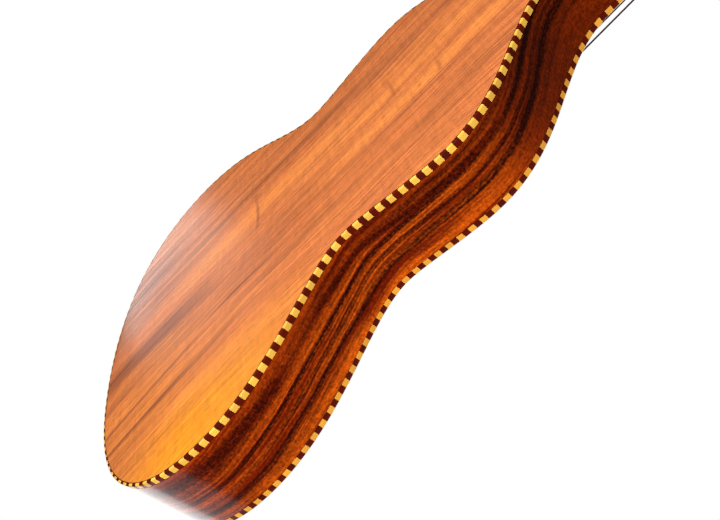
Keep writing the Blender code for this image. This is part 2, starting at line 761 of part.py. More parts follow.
def build_fingerboard_and_nut(top, mats):
    start, end = along_top(FINGERBOARD_END_X), along_top(NUT_X)
    outline = [
        (start, -FINGERBOARD_END_HALF), (end - GAP, -FINGERBOARD_NUT_HALF),
        (end - GAP, FINGERBOARD_NUT_HALF), (start, FINGERBOARD_END_HALF),
    ]
    mesh = prism("fingerboard", outline, GAP, GAP + FINGERBOARD_THICKNESS)
    add_object("fingerboard", mesh, top, mats["rosewood"])

    crown = STRING_UNDERSIDE + NUT_LIP
    floor = STRING_UNDERSIDE - GAP
    section = [(-NUT_HALF, GAP), (NUT_HALF, GAP), (NUT_HALF, crown)]
    for number, radius in enumerate(STRING_RADII):
        y = string_y(number, NUT_SPREAD)
        reach = radius + GAP
        section += [(y + reach, crown), (y + reach, floor), (y - reach, floor), (y - reach, crown)]
    section.append((-NUT_HALF, crown))
    rings = [[(x, y, z) for y, z in section] for x in (end, end + NUT_LENGTH)]
    add_object("nut", loft("nut", rings), top, mats["bone"])

    outer = SOUNDHOLE_RADIUS + SOUNDHOLE_BINDING_WIDTH
    section = [
        (SOUNDHOLE_RADIUS, -TOP_THICKNESS), (outer, -TOP_THICKNESS), (outer, 0.0),
        (SOUNDHOLE_RADIUS, 0.0),
    ]
    mesh = turned_tube("soundhole_binding", section, SOUNDHOLE_SIDES)
    ring = add_object("soundhole_binding", mesh, top, mats["rope_binding"])
    ring.location = (along_top(SOUNDHOLE_X), 0.0, 0.0)


# Head pieces, in the frame of the head's tilted face

def head_outline():
    half = []
    for k in range(HEAD_SHOULDER_STEPS + 1):
        share = k / HEAD_SHOULDER_STEPS
        rise = (1 - math.cos(math.pi * share)) / 2
        y = NECK_END_HALF + (HEAD_SHOULDER_HALF - NECK_END_HALF) * rise
        half.append((HEAD_SHOULDER_X * share, y))
    for k in range(HEAD_CREST_STEPS + 1):
        share = k / HEAD_CREST_STEPS
        x = HEAD_LENGTH - HEAD_CREST * (1 - share ** HEAD_CREST_POWER)
        half.append((x, HEAD_TOP_HALF * (1 - share)))
    return half + [(x, -y) for x, y in reversed(half[:-1])]


def head_slab(name, low, high):
    """A slab of the head's outline whose end towards the nut is square to the floor."""
    mesh = prism(name, head_outline(), low, high)
    for vertex in mesh.vertices:
        if abs(vertex.co.x) < 1e-6:
            vertex.co.x = -vertex.co.z * math.tan(HEAD_TILT)
    return mesh


def post_places():
    """(x, y, side) of each post: strings 0 to 2 go to the bass side, 5 to 3 to the treble side."""
    places = [(POST_XS[i], POST_ROW_HALF, 1) for i in range(3)]
    return places + [(POST_XS[2 - i], -POST_ROW_HALF, -1) for i in range(3)]


def build_head_cutter(head):
    hole = POST_RADIUS + 2 * RUNNING_GAP
    wide = BUSHING_RADIUS + GAP
    profile = [
        (hole, HEAD_UNDER - HEAD_THICKNESS), (hole, -BUSHING_DEPTH - GAP),
        (wide, -BUSHING_DEPTH - GAP), (wide, HEAD_THICKNESS),
    ]
    centres = [(x, y) for x, y, _ in post_places()]
    mesh = turned("post_holes", profile, SMALL_ROUND_SIDES, centres)
    return add_cutter("post_hole_cutter", mesh, head)


def build_headstock(head, mats, post_holes):
    slab = head_slab("headstock", HEAD_UNDER, -VENEER_THICKNESS - GAP)
    headstock = add_object("headstock", slab, head, mats["mahogany"])
    slab = head_slab("headstock_veneer", -VENEER_THICKNESS, 0.0)
    veneer = add_object("headstock_veneer", slab, head, mats["koa_top"])
    cut(headstock, post_holes)
    cut(veneer, post_holes)
    bore = POST_RADIUS + RUNNING_GAP
    section = [
        (bore, -BUSHING_DEPTH), (BUSHING_RADIUS, -BUSHING_DEPTH), (BUSHING_RADIUS, GAP),
        (BUSHING_FLANGE_RADIUS, GAP), (BUSHING_FLANGE_RADIUS, BUSHING_FLANGE_HEIGHT),
        (bore, BUSHING_FLANGE_HEIGHT),
    ]
    mesh = turned_tube("post_bushing", section, SMALL_ROUND_SIDES)
    for number, (x, y, _) in enumerate(post_places(), 1):
        bushing = add_object(f"post_bushing_{number}", mesh, head, mats["nickel"])
        bushing.location = (x, y, 0.0)


def lug_rings(x, y):
    """A lug's outline, round about the worm's axis, at both its faces."""
    outline = [(x + LUG_HALF, PLATE_UNDER + MACHINE_PLATE_THICKNESS / 2)]
    for k in range(LUG_STEPS + 1):
        angle = math.pi * k / LUG_STEPS
        outline.append((x + LUG_HALF * math.cos(angle), WORM_Z - LUG_HALF * math.sin(angle)))
    outline.append((x - LUG_HALF, PLATE_UNDER + MACHINE_PLATE_THICKNESS / 2))
    return [
        [(px, py, HEAD_UNDER + pz) for px, pz in outline] for py in (y, y + LUG_THICKNESS)
    ]


def build_tuner_plate(name, side, head, mats, post_holes):
    y = side * POST_ROW_HALF
    start, end = POST_XS[0] - MACHINE_PLATE_OVERHANG, POST_XS[2] + MACHINE_PLATE_OVERHANG
    corner = MACHINE_PLATE_HALF / 3
    outline = []
    for cx, sx in ((end, 1), (start, -1)):
        tips = [(0, corner), (corner, 0)] if sx > 0 else [(corner, 0), (0, corner)]
        for dx, dy in tips:
            outline.append((cx - sx * dx, y + sx * (MACHINE_PLATE_HALF - dy)))
        for dx, dy in reversed(tips):
            outline.append((cx - sx * dx, y - sx * (MACHINE_PLATE_HALF - dy)))
    outline.sort(key=lambda p: math.atan2(p[1] - y, p[0] - (start + end) / 2))
    mesh = prism(name, outline, HEAD_UNDER + PLATE_UNDER, HEAD_UNDER - GAP)
    plate = add_object(name, mesh, head, mats["nickel"])

    def build_lugs(bm):
        for x in POST_XS:
            for low in (-LUG_INNER - LUG_THICKNESS, LUG_INNER):
                add_loft(bm, lug_rings(x - WORM_DISTANCE, y + low))

    def build_shaft_holes(bm):
        reach = LUG_INNER + 2 * LUG_THICKNESS
        for x in POST_XS:
            ring = circle(SHAFT_RADIUS + RUNNING_GAP, SMALL_ROUND_SIDES)
            rings = [
                [(x - WORM_DISTANCE + a, y + d, HEAD_UNDER + WORM_Z + b) for a, b in ring]
                for d in (-reach, reach)
            ]
            add_loft(bm, rings)
    join(plate, add_cutter(name + "_lugs", mesh_from(name + "_lugs", build_lugs), head))
    cut(plate, post_holes)
    cut(plate, add_cutter(name + "_shafts", mesh_from(name + "_shafts", build_shaft_holes), head))


def tooth_half(height):
    """Half thickness of a tooth or thread at this height over the pitch line."""
    return (THREAD_PITCH / 2 - TOOTH_BACKLASH) / 2 - height * math.tan(TOOTH_FLANK_ANGLE)


def gear_mesh():
    """A gear with slanted teeth, one of them centred towards -X at mid height."""
    root, tip = -TOOTH_ROOT, GEAR_MODULE
    lead = THREAD_PITCH / (2 * math.pi * WORM_PITCH_RADIUS)
    rings = []
    for level in (-GEAR_THICKNESS / 2, GEAR_THICKNESS / 2):
        ring = []
        for tooth in range(GEAR_TEETH):
            middle = math.pi + 2 * math.pi * tooth / GEAR_TEETH + lead * level / GEAR_PITCH_RADIUS
            for height, sign in ((root, -1), (tip, -1), (tip, 1), (root, 1)):
                radius = GEAR_PITCH_RADIUS + height
                angle = middle + sign * tooth_half(height) / radius
                ring.append((radius * math.cos(angle), radius * math.sin(angle), WORM_Z + level))
        rings.append(ring)
    return loft("gear", rings)


def post_mesh():
    """Post and gear, standing on the post's axis with the head's underside at height 0."""
    low = WORM_Z - GEAR_THICKNESS / 2
    top = POST_ABOVE_FACE - HEAD_UNDER
    profile = [
        (GEAR_SCREW_RADIUS - GEAR_SCREW_HEIGHT / 2, low - GEAR_SCREW_HEIGHT),
        (GEAR_SCREW_RADIUS, low - GEAR_SCREW_HEIGHT / 2), (GEAR_SCREW_RADIUS, WORM_Z),
        (POST_RADIUS, WORM_Z), (POST_RADIUS, top - POST_TIP_CHAMFER),
        (POST_RADIUS - POST_TIP_CHAMFER, top),
    ]
    return fused_mesh("post_and_gear", [gear_mesh(), turned("post", profile, SMALL_ROUND_SIDES)])


def worm_mesh():
    """A right-hand thread about Y, with a groove facing +X at its middle."""
    root, crest = -TOOTH_ROOT, GEAR_MODULE
    steps = [(-tooth_half(root), root), (-tooth_half(crest), crest),
             (tooth_half(crest), crest), (tooth_half(root), root)]
    first = -WORM_HALF_LENGTH + tooth_half(root)
    turns_to_groove = (-THREAD_PITCH / 2 - first) / THREAD_PITCH
    phase = math.pi / 2 - 2 * math.pi * turns_to_groove

    def build(bm):
        sections = []
        for n in range((WORM_TURNS + 1) * WORM_SEGMENTS + 1):
            angle = phase + 2 * math.pi * n / WORM_SEGMENTS
            y = first + THREAD_PITCH * n / WORM_SEGMENTS
            count = 4 if n <= WORM_TURNS * WORM_SEGMENTS else 1
            section = []
            for offset, height in steps[:count]:
                radius = WORM_PITCH_RADIUS + height
                place = (radius * math.sin(angle), y + offset, radius * math.cos(angle))
                section.append(bm.verts.new(place))
            sections.append(section)
        last = WORM_TURNS * WORM_SEGMENTS
        for n in range(last):
            here = sections[n] + [sections[n + WORM_SEGMENTS][0]]
            there = sections[n + 1] + [sections[n + 1 + WORM_SEGMENTS][0]]
            for k in range(4):
                bm.faces.new((here[k], here[k + 1], there[k + 1], there[k]))
        for side, n in ((-1, 0), (1, last)):
            centre = bm.verts.new((0.0, side * WORM_HALF_LENGTH, 0.0))
            if side < 0:
                loop = [sections[k][0] for k in range(WORM_SEGMENTS + 1)] + sections[n][:0:-1]
            else:
                loop = [sections[n + k][0] for k in range(1, WORM_SEGMENTS + 1)] + sections[n][:0:-1]
                loop = [sections[n][0]] + loop
            for a, b in zip(loop, loop[1:] + loop[:1]):
                bm.faces.new((a, b, centre))
    return mesh_from("worm", build)


def y_cylinder(name, radius, low, high):
    ring = circle(radius, SHAFT_SIDES)
    return loft(name, [[(x, y, z) for x, z in ring] for y in (low, high)])


def knob_mesh():
    """Button, shaft and worm on the knob's axis, with the worm's middle at the origin."""
    inner = -LUG_INNER - LUG_THICKNESS - 3 * RUNNING_GAP
    shaft = y_cylinder("shaft", SHAFT_RADIUS, inner, KNOB_REACH)

    def build(bm):
        size = Matrix.Diagonal((KNOB_HALF_WIDTH, KNOB_HALF_LENGTH, KNOB_HALF_THICKNESS, 1.0))
        place = Matrix.Translation((0.0, KNOB_REACH, 0.0))
        bmesh.ops.create_uvsphere(
            bm, u_segments=BUTTON_SIDES, v_segments=BUTTON_RINGS, radius=1.0, matrix=place @ size,
        )
    return fused_mesh("knob_and_worm", [worm_mesh(), shaft, mesh_from("button", build)])


def build_tuners(head, mats):
    post = post_mesh()
    knob = knob_mesh()
    for number, (x, y, side) in enumerate(post_places(), 1):
        post_obj = add_object(f"tuner_post_{number}", post, head, mats["nickel"])
        post_obj.location = (x, y, HEAD_UNDER)
        knob_obj = add_object(f"tuner_knob_{number}", knob, head, mats["knob_cream"])
        knob_obj.location = (x - WORM_DISTANCE, y, HEAD_UNDER + WORM_Z)
        if side < 0:
            knob_obj.rotation_euler = (math.pi, 0.0, 0.0)


# Strings

def winding_points(start, post, side, radius):
    """From a point over the head, on to the post's inner side and up round it, in turns."""
    reach = POST_RADIUS + GAP + radius
    away = Vector((post[0] - start.x, side * (post[1] - start.y)))
    bearing = math.atan2(away.y, away.x) - math.asin(reach / away.length)
    phase = bearing - math.pi / 2
    rise = 2 * radius + WINDING_GAP
    points = []
    for k in range(WINDING_TURNS * LOOP_POINTS + 1):
        angle = phase + 2 * math.pi * k / LOOP_POINTS
        height = WINDING_ABOVE_FACE + rise * k / LOOP_POINTS
        points.append(Vector((
            post[0] + reach * math.cos(angle), post[1] + side * reach * math.sin(angle), height,
        )))
    return points


def least_winding_gap(points, radius):
    """Least distance between points at least half a turn apart, less the string itself."""
    apart = LOOP_POINTS // 2
    least = min(
        (a - b).length for i, a in enumerate(points) for b in points[i + apart:]
    )
    return least - 2 * radius


def build_string(number, top, head, root, mats):
    radius = STRING_RADII[number]
    post_x, post_y, side = post_places()[number]
    saddle = along_top(SADDLE_X)
    slot_x = saddle - PIN_SETBACK + PIN_SLOT_REACH
    bridge_y, nut_y = string_y(number, BRIDGE_SPREAD), string_y(number, NUT_SPREAD)
    nut = along_top(NUT_X)
    level = STRING_UNDERSIDE + radius
    ball = -TOP_THICKNESS - BRIDGE_PLATE_THICKNESS - 3 * GAP - BALL_RADIUS
    slope = (nut_y - bridge_y) / (nut - saddle)

    def y_at(x):
        return bridge_y + slope * max(x - saddle, 0.0)
    path = []
    for angle in (-80, -50, -20, 20, 50, 75):
        at = math.radians(angle)
        centre = Vector((slot_x, bridge_y, ball + BALL_RADIUS * math.sin(at)))
        path.append((centre, BALL_RADIUS * math.cos(at)))
    rise = BRIDGE_HEIGHT + radius
    for x, z in (
        (slot_x, ball + 1.2 * BALL_RADIUS), (slot_x, rise - 2 * radius), (slot_x + radius, rise + radius),
        (saddle - SADDLE_THICKNESS, level - SADDLE_THICKNESS / 2), (saddle - SADDLE_CROWN_HALF, level),
        (saddle + SADDLE_CROWN_HALF, level), (nut, level), (nut + NUT_LENGTH + GAP, level),
    ):
        path.append((Vector((x, y_at(x), z)), radius))
    points = [(top.matrix_local @ point, size) for point, size in path]
    over_head = head.matrix_local.inverted() @ points[-1][0]
    winding = winding_points(over_head, (post_x, post_y), side, radius)
    gap = least_winding_gap(winding, radius)
    print(f"string_{number + 1} winding: least gap to itself {gap * 1000:.2f} mm")
    points += [(head.matrix_local @ point, radius) for point in winding]

    curve = bpy.data.curves.new(f"string_{number + 1}", "CURVE")
    curve.dimensions = "3D"
    curve.bevel_depth = radius
    curve.bevel_resolution = 1
    curve.use_fill_caps = True
    spline = curve.splines.new("POLY")
    spline.points.add(len(points) - 1)
    for target, (point, size) in zip(spline.points, points):
        target.co = (*point, 1.0)
        target.radius = size / radius
    curve.materials.append(mats["bronze_string" if number < 4 else "steel_string"])
    obj = bpy.data.objects.new(f"string_{number + 1}", curve)
    bpy.context.scene.collection.objects.link(obj)
    obj.parent = root


def build_guitar():
    clear_scene()
    mats = make_materials()
    root = make_empty("guitar", None, (-CENTRE_X, 0.0, 0.0))
    top = make_empty("top_frame", root, (0.0, 0.0, top_z(0.0)), TOP_TILT)
    head = make_empty("head_frame", root, (HEAD_X, 0.0, top_z(BODY_END_X)), HEAD_TILT)
    bpy.context.view_layer.update()
    cutters = build_top_cutters(top)

    build_back_plate(root, mats)
    build_soundboard(root, mats, cutters)
    build_side("bass_side", 1, root, mats)
    build_side("treble_side", -1, root, mats)
    build_binding("back_binding", rim_z, lambda x: rim_z(x) + BINDING_HEIGHT, root, mats)
    build_binding("top_binding", lambda x: top_z(x) - BINDING_HEIGHT, top_z, root, mats)
    for side, word in ((1, "bass"), (-1, "treble")):
        build_lining(
            f"{word}_back_lining", side, over_back_rim,
            lambda x: over_back_rim(x) + LINING_HEIGHT, root, mats,
        )
        build_lining(
            f"{word}_top_lining", side, lambda x: under_top(x) - LINING_HEIGHT,
            under_top, root, mats,
        )
    build_blocks(root, mats)
    build_back_braces(root, mats)
    cut(build_top_braces(top, mats), cutters["pin_slots"])
    build_bridge(top, mats, cutters)
    build_fingerboard_and_nut(top, mats)

    post_holes = build_head_cutter(head)
    build_headstock(head, mats, post_holes)
    build_tuner_plate("tuner_plate_bass", 1, head, mats, post_holes)
    build_tuner_plate("tuner_plate_treble", -1, head, mats, post_holes)
    build_tuners(head, mats)
    for number in range(len(STRING_RADII)):
        build_string(number, top, head, root, mats)


build_guitar()
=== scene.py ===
"""Looks of the hollow-neck lap steel guitar: koa box, rope binding, face, head, tuners and strings."""
import math
import random

import bmesh
import bpy
import numpy as np
from mathutils import Matrix, Vector


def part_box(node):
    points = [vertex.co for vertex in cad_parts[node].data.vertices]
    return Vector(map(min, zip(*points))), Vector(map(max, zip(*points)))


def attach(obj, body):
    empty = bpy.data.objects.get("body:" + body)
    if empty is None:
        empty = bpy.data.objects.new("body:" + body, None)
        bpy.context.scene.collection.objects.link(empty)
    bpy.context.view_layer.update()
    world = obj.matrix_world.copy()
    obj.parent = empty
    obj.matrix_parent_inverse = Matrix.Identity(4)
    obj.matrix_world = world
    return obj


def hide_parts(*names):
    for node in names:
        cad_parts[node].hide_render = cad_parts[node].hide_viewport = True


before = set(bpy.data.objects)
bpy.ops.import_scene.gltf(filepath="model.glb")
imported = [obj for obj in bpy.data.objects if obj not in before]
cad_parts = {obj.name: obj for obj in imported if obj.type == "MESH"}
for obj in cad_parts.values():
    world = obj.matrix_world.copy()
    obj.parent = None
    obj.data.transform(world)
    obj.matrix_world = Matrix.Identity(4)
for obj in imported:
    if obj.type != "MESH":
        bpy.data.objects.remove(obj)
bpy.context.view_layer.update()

# Clearance between pieces, as in the solids
GAP = 0.0003

# Plan outline: stations from the tail, half widths and curve radii there, as in the solids
LOWER_BOUT = (0.1314, 0.195, 0.142)
WAIST = (0.3038, 0.113, 0.038)
UPPER_BOUT = (0.3973, 0.1294, 0.078)
NECK = (0.5417, 0.0383, 0.050)
NECK_END_HALF = 0.027
TAIL_FLATNESS = 0.8
NUT_X = 0.806
NUT_LENGTH = 0.006
BODY_END_X = NUT_X + NUT_LENGTH
SCALE_LENGTH = 0.635
SOUNDHOLE_X = 0.335
SOUNDHOLE_RADIUS = 0.043

# Heights of the box, as in the solids
TAIL_DEPTH = 0.0781
NECK_END_DEPTH = 0.0497
RIM_LIFT_TAIL = 0.0035
RIM_LIFT_HEAD = 0.0010
REST_STRIP_HALF = 0.015
ARCH_RUN_IN = 0.080
BACK_THICKNESS = 0.0028
TOP_THICKNESS = 0.0028
SIDE_THICKNESS = 0.0022
BINDING_THICKNESS = 0.0020
BINDING_HEIGHT = 0.0052
PURFLING_WIDTH = 0.0007
PANEL_INSET = BINDING_THICKNESS + PURFLING_WIDTH
TOP_SLOPE = (TAIL_DEPTH + RIM_LIFT_TAIL - NECK_END_DEPTH - RIM_LIFT_HEAD) / BODY_END_X
TOP_TILT = math.atan(TOP_SLOPE)

# Where the tail's middle lies in the frame
TAIL_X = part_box("back_binding")[0].x

# Mesh steps
OUTLINE_STEP = 0.0028
CURVE_STEPS = 400
BACK_COLUMNS = 36
EDGE_STEPS = 4
BORE_SIDES = 28
SOUNDHOLE_SIDES = 96

# Angle from which an edge between two faces is shown sharp
SHARP_FROM = 35.0


def place(x, y, z):
    """A point given from the tail's middle, in the frame."""
    return Vector((TAIL_X + x, y, z))


def evenly(steps, low=0.0, high=1.0):
    """Numbers from low to high in even steps, with both ends."""
    return [low + (high - low) * k / steps for k in range(steps + 1)]


# Shader graphs

class Value:
    """A node's output, on which plain arithmetic adds the node that works it out."""

    def __init__(self, graph, socket):
        self.graph = graph
        self.socket = socket

    def __add__(self, other):
        return self.graph.math("ADD", self, other)

    def __sub__(self, other):
        return self.graph.math("SUBTRACT", self, other)

    def __rsub__(self, other):
        return self.graph.math("SUBTRACT", other, self)

    def __mul__(self, other):
        return self.graph.math("MULTIPLY", self, other)

    def __abs__(self):
        return self.graph.math("ABSOLUTE", self)


class Graph:
    """Short hand for building a node tree: an input is a number, a colour or another node's output."""

    def __init__(self, tree):
        self.tree = tree

    def node(self, kind, inputs=None, output=0, **settings):
        """The output of a new node, from its inputs by name or number and its settings."""
        made = self.tree.nodes.new(kind)
        for key, value in settings.items():
            setattr(made, key, value)
        for key, value in (inputs or {}).items():
            self.feed(made.inputs[key], value)
        return Value(self, made.outputs[output])

    def feed(self, socket, value):
        if isinstance(value, Value):
            self.tree.links.new(value.socket, socket)
        elif socket.type == "RGBA" and len(value) == 3:
            socket.default_value = (*value, 1.0)
        else:
            socket.default_value = value

    def math(self, operation, *values):
        return self.node("ShaderNodeMath", dict(enumerate(values)), operation=operation)

    def maximum(self, first, second):
        return self.math("MAXIMUM", first, second)

    def here(self):
        """Where the shaded point lies in its own object."""
        return self.node("ShaderNodeTexCoord", output="Object")

    def combine(self, x, y, z):
        return self.node("ShaderNodeCombineXYZ", {0: x, 1: y, 2: z})

    def split(self, vector):
        made = self.node("ShaderNodeSeparateXYZ", {0: vector}).socket.node
        return [Value(self, socket) for socket in made.outputs]

    def noise(self, vector, scale, detail, roughness, distortion=0.0):
        inputs = {"Scale": scale, "Detail": detail, "Roughness": roughness, "Distortion": distortion}
        return self.node("ShaderNodeTexNoise", {"Vector": vector, **inputs}, "Fac")

    def span(self, value, low, high, to_low=0.0, to_high=1.0, smooth=True):
        """The value, from low to high, as a share from to_low to to_high, kept between the two."""
        inputs = {"From Min": low, "From Max": high, "To Min": to_low, "To Max": to_high}
        kind = "SMOOTHSTEP" if smooth else "LINEAR"
        return self.node(
            "ShaderNodeMapRange", {"Value": value, **inputs}, interpolation_type=kind, clamp=True,
        )

    def mix(self, share, first, second, blend="MIX"):
        """Two colours mixed; 6, 7 and 2 are the numbers of the node's colour sockets."""
        inputs = {"Factor": share, 6: first, 7: second}
        return self.node("ShaderNodeMix", inputs, 2, data_type="RGBA", blend_type=blend)

    def mix_shaders(self, share, first, second):
        return self.node("ShaderNodeMixShader", {0: share, 1: first, 2: second})

    def tinted(self, colour, share):
        return self.mix(1.0, colour, self.combine(share, share, share), "MULTIPLY")

    def attribute(self, name):
        return self.split(self.node("ShaderNodeAttribute", output="Vector", attribute_name=name))

    def bump(self, height, strength, distance):
        return self.node("ShaderNodeBump", {"Height": height, "Strength": strength, "Distance": distance})


class Finish(Graph):
    """The graph of a new Principled material, with the constant values set."""

    def __init__(self, name, roughness=0.3, metallic=0.0, coat=0.0, coat_roughness=0.1, specular=0.5):
        self.mat = bpy.data.materials.new(name)
        self.mat.use_nodes = True
        super().__init__(self.mat.node_tree)
        self.set({
            "Roughness": roughness, "Metallic": metallic, "Coat Weight": coat,
            "Coat Roughness": coat_roughness, "Specular IOR Level": specular,
        })

    def set(self, inputs):
        for key, value in inputs.items():
            self.feed(self.tree.nodes["Principled BSDF"].inputs[key], value)

    def done(self, colour, **inputs):
        """The material, once its colour and its other named inputs are fed."""
        self.set({"Base Color": colour, **inputs})
        return self.mat


# Plan outline of the guitar

def bezier(points, t):
    u = 1 - t
    weights = (u ** 3, 3 * u * u * t, 3 * u * t * t, t ** 3)
    return sum(w * np.array(p) for w, p in zip(weights, points))


def handle(rise, radius):
    """Length of a Bezier handle that gives this radius of curvature at a level station."""
    return math.sqrt(2 / 3 * abs(rise) * radius)


def outline_curves():
    """Bezier curves from the tail's middle to where the neck's straight sides begin."""
    tail = TAIL_FLATNESS * LOWER_BOUT[1]
    lower = handle(LOWER_BOUT[1] - tail, LOWER_BOUT[2])
    curves = [[(0.0, 0.0), (0.0, tail), (LOWER_BOUT[0] - lower, LOWER_BOUT[1]), LOWER_BOUT[:2]]]
    for start, end in ((LOWER_BOUT, WAIST), (WAIST, UPPER_BOUT), (UPPER_BOUT, NECK)):
        rise = end[1] - start[1]
        after = (start[0] + handle(rise, start[2]), start[1])
        before = (end[0] - handle(rise, end[2]), end[1])
        curves.append([start[:2], after, before, end[:2]])
    return curves


class Outline:
    """The bass half of the outline by its length from the tail's middle: places and inward normals."""

    # How far to either side the direction of the outline is taken from
    REACH = 0.0008
    # Enough past the tail's middle to count as the bass side
    START = 1e-9

    def __init__(self):
        dense = [bezier(curve, t) for curve in outline_curves() for t in evenly(CURVE_STEPS)[:-1]]
        self.points = np.array(dense + [np.array(NECK[:2]), np.array((BODY_END_X, NECK_END_HALF))])
        runs = np.linalg.norm(np.diff(self.points, axis=0), axis=1)
        self.lengths = np.concatenate(([0.0], np.cumsum(runs)))
        self.total = float(self.lengths[-1])

    def at(self, length, inset):
        """Point (x, y) this far along, drawn in by inset; a negative length is on the treble side."""
        s = min(abs(length), self.total)
        if s < self.REACH:
            normal = np.array((1.0, 0.0))
        elif s > self.total - self.REACH:
            normal = np.array((0.0, -1.0))
        else:
            run = self.spot(s + self.REACH) - self.spot(s - self.REACH)
            normal = np.array((run[1], -run[0])) / np.linalg.norm(run)
        x, y = self.spot(s) + normal * inset
        return float(x), float(math.copysign(y, length)) if length else 0.0

    def spot(self, s):
        return np.array([np.interp(s, self.lengths, self.points[:, axis]) for axis in (0, 1)])

    def drawn_in(self, inset):
        count = int(self.total / OUTLINE_STEP)
        return [self.at(s + self.START, inset) for s in evenly(count, 0.0, self.total)]


OUTLINE = Outline()


def rim_z(x):
    return RIM_LIFT_TAIL + (RIM_LIFT_HEAD - RIM_LIFT_TAIL) * x / BODY_END_X


def top_z(x):
    return RIM_LIFT_TAIL + TAIL_DEPTH - TOP_SLOPE * x


def back_z(x, y, half):
    """Height of the domed back's underside, which runs flat along its middle strip."""
    run = min(x / ARCH_RUN_IN, 1.0)
    arch = rim_z(x) * (1 - (1 - run) ** 2)
    middle = min(REST_STRIP_HALF, half / 2)
    share = max(abs(y) - middle, 0.0) / max(half - middle, 1e-6)
    return rim_z(x) - arch * (1 - min(share, 1.0) ** 2)


# Koa of the back and the sides

# Linear colours of the woods
KOA_LIGHT = (0.66, 0.186, 0.054)
# Brighter koa: a tone of the face, and on the back the colour of painted sheen
KOA_TONE_AND_SHEEN = (0.89, 0.275, 0.062)
KOA_DARK = (0.21, 0.058, 0.029)
KOA_GOLD = (0.92, 0.305, 0.017)
SIDE_AMBER = (0.66, 0.095, 0.003)
SIDE_RED = (0.190, 0.012, 0.0004)
SIDE_BLACK = (0.030, 0.0026, 0.0006)

# Streaks of the back: distance from the centre line, half width, depth, and where they start and end
# from the tail
BACK_STREAKS = (
    # The first, broad streak on the treble side by the tail is partly the wood's darker figure and partly
    # painted shade
    (-0.100, 0.075, 0.80, -0.20, 0.15),
    (-0.050, 0.042, 0.52, -0.20, 0.17),
    (0.030, 0.045, 0.26, 0.00, 0.34),
    (0.125, 0.040, 0.30, -0.20, 0.12),
    (-0.076, 0.012, 0.62, -0.20, 0.42),
    (-0.060, 0.018, 0.42, 0.30, 0.90),
    (0.006, 0.021, 0.86, -0.20, 0.19),
    (0.018, 0.006, 0.60, 0.07, 0.22),
    (0.053, 0.0040, 1.25, 0.10, 0.27),
    (0.070, 0.016, 0.42, 0.14, 0.90),
    (0.088, 0.007, 0.85, -0.20, 0.24),
    (0.106, 0.004, 0.55, -0.20, 0.20),
    (0.062, 0.004, 0.60, -0.20, 0.20),
    (0.036, 0.005, 0.45, -0.20, 0.12),
)
# Bands of painted sheen along the middle of the back, given like the streaks
BACK_SHEEN_BANDS = (
    (-0.034, 0.026, 0.95, 0.03, 0.40),
    (0.021, 0.016, 1.00, 0.24, 0.90),
    (-0.014, 0.020, 0.80, 0.22, 0.60),
)
# Marks across the grain: where along, where across, half length across, and depth
BACK_MARKS = ((0.218, -0.034, 0.056, 0.55), (0.382, -0.013, 0.028, 0.55), (0.426, 0.020, 0.018, 0.50))
MARK_HALF_WIDTH = 0.0036
MARK_BEND = 3.0

# Black lines of the sides: height above the rim at half length, half width, and depth
SIDE_LINES = (
    (0.0050, 0.0018, 0.50),
    (0.0125, 0.0026, 0.75),
    (0.0185, 0.0012, 0.50),
    (0.0245, 0.0020, 1.00),
    (0.0290, 0.0009, 0.40),
    (0.0335, 0.0018, 0.85),
    (0.0375, 0.0009, 0.35),
    (0.0425, 0.0025, 0.95),
    (0.0500, 0.0012, 0.35),
)
# Dark clouds of the sides: height, half height, depth, and where they start and end along the rim
SIDE_CLOUDS = (
    (0.0175, 0.0130, 1.25, -0.20, 0.41),
    (0.0180, 0.0074, 1.20, 0.33, 0.66),
    (0.0380, 0.0070, 0.45, -0.20, 0.30),
    (0.0580, 0.0060, 0.60, -0.20, 0.34),
)
# Broad black bands of the sides by the neck, in the same order, but along the black lines
NECK_BANDS = (
    (0.0245, 0.0055, 1.30, 0.54, 0.95),
    (0.0330, 0.0024, 0.70, 0.56, 0.95),
    (0.0415, 0.0080, 1.30, 0.54, 0.95),
    (0.0530, 0.0040, 0.60, 0.58, 0.95),
)


def bell(g, value, centre, half):
    """A smooth hump of 1 at the centre that is gone at the half width."""
    return g.span(abs(value - centre), 0.0, half, 1.0, 0.0)


def streaks(g, along, across, rows, soft):
    """The deepest of several streaks at each place, each with soft ends."""
    deepest = 0.0
    for centre, half, depth, start, end in rows:
        ends = g.span(along, start, start + soft) * g.span(along, end - soft, end, 1.0, 0.0)
        deepest = g.maximum(deepest, bell(g, across, centre, half) * depth * ends)
    return deepest


def grain(g, along, across, along_scale, across_scale, seed, detail=3.0):
    """Noise drawn out along the grain."""
    return g.noise(g.combine(along * along_scale, across * across_scale, seed), 1.0, detail, 0.6)


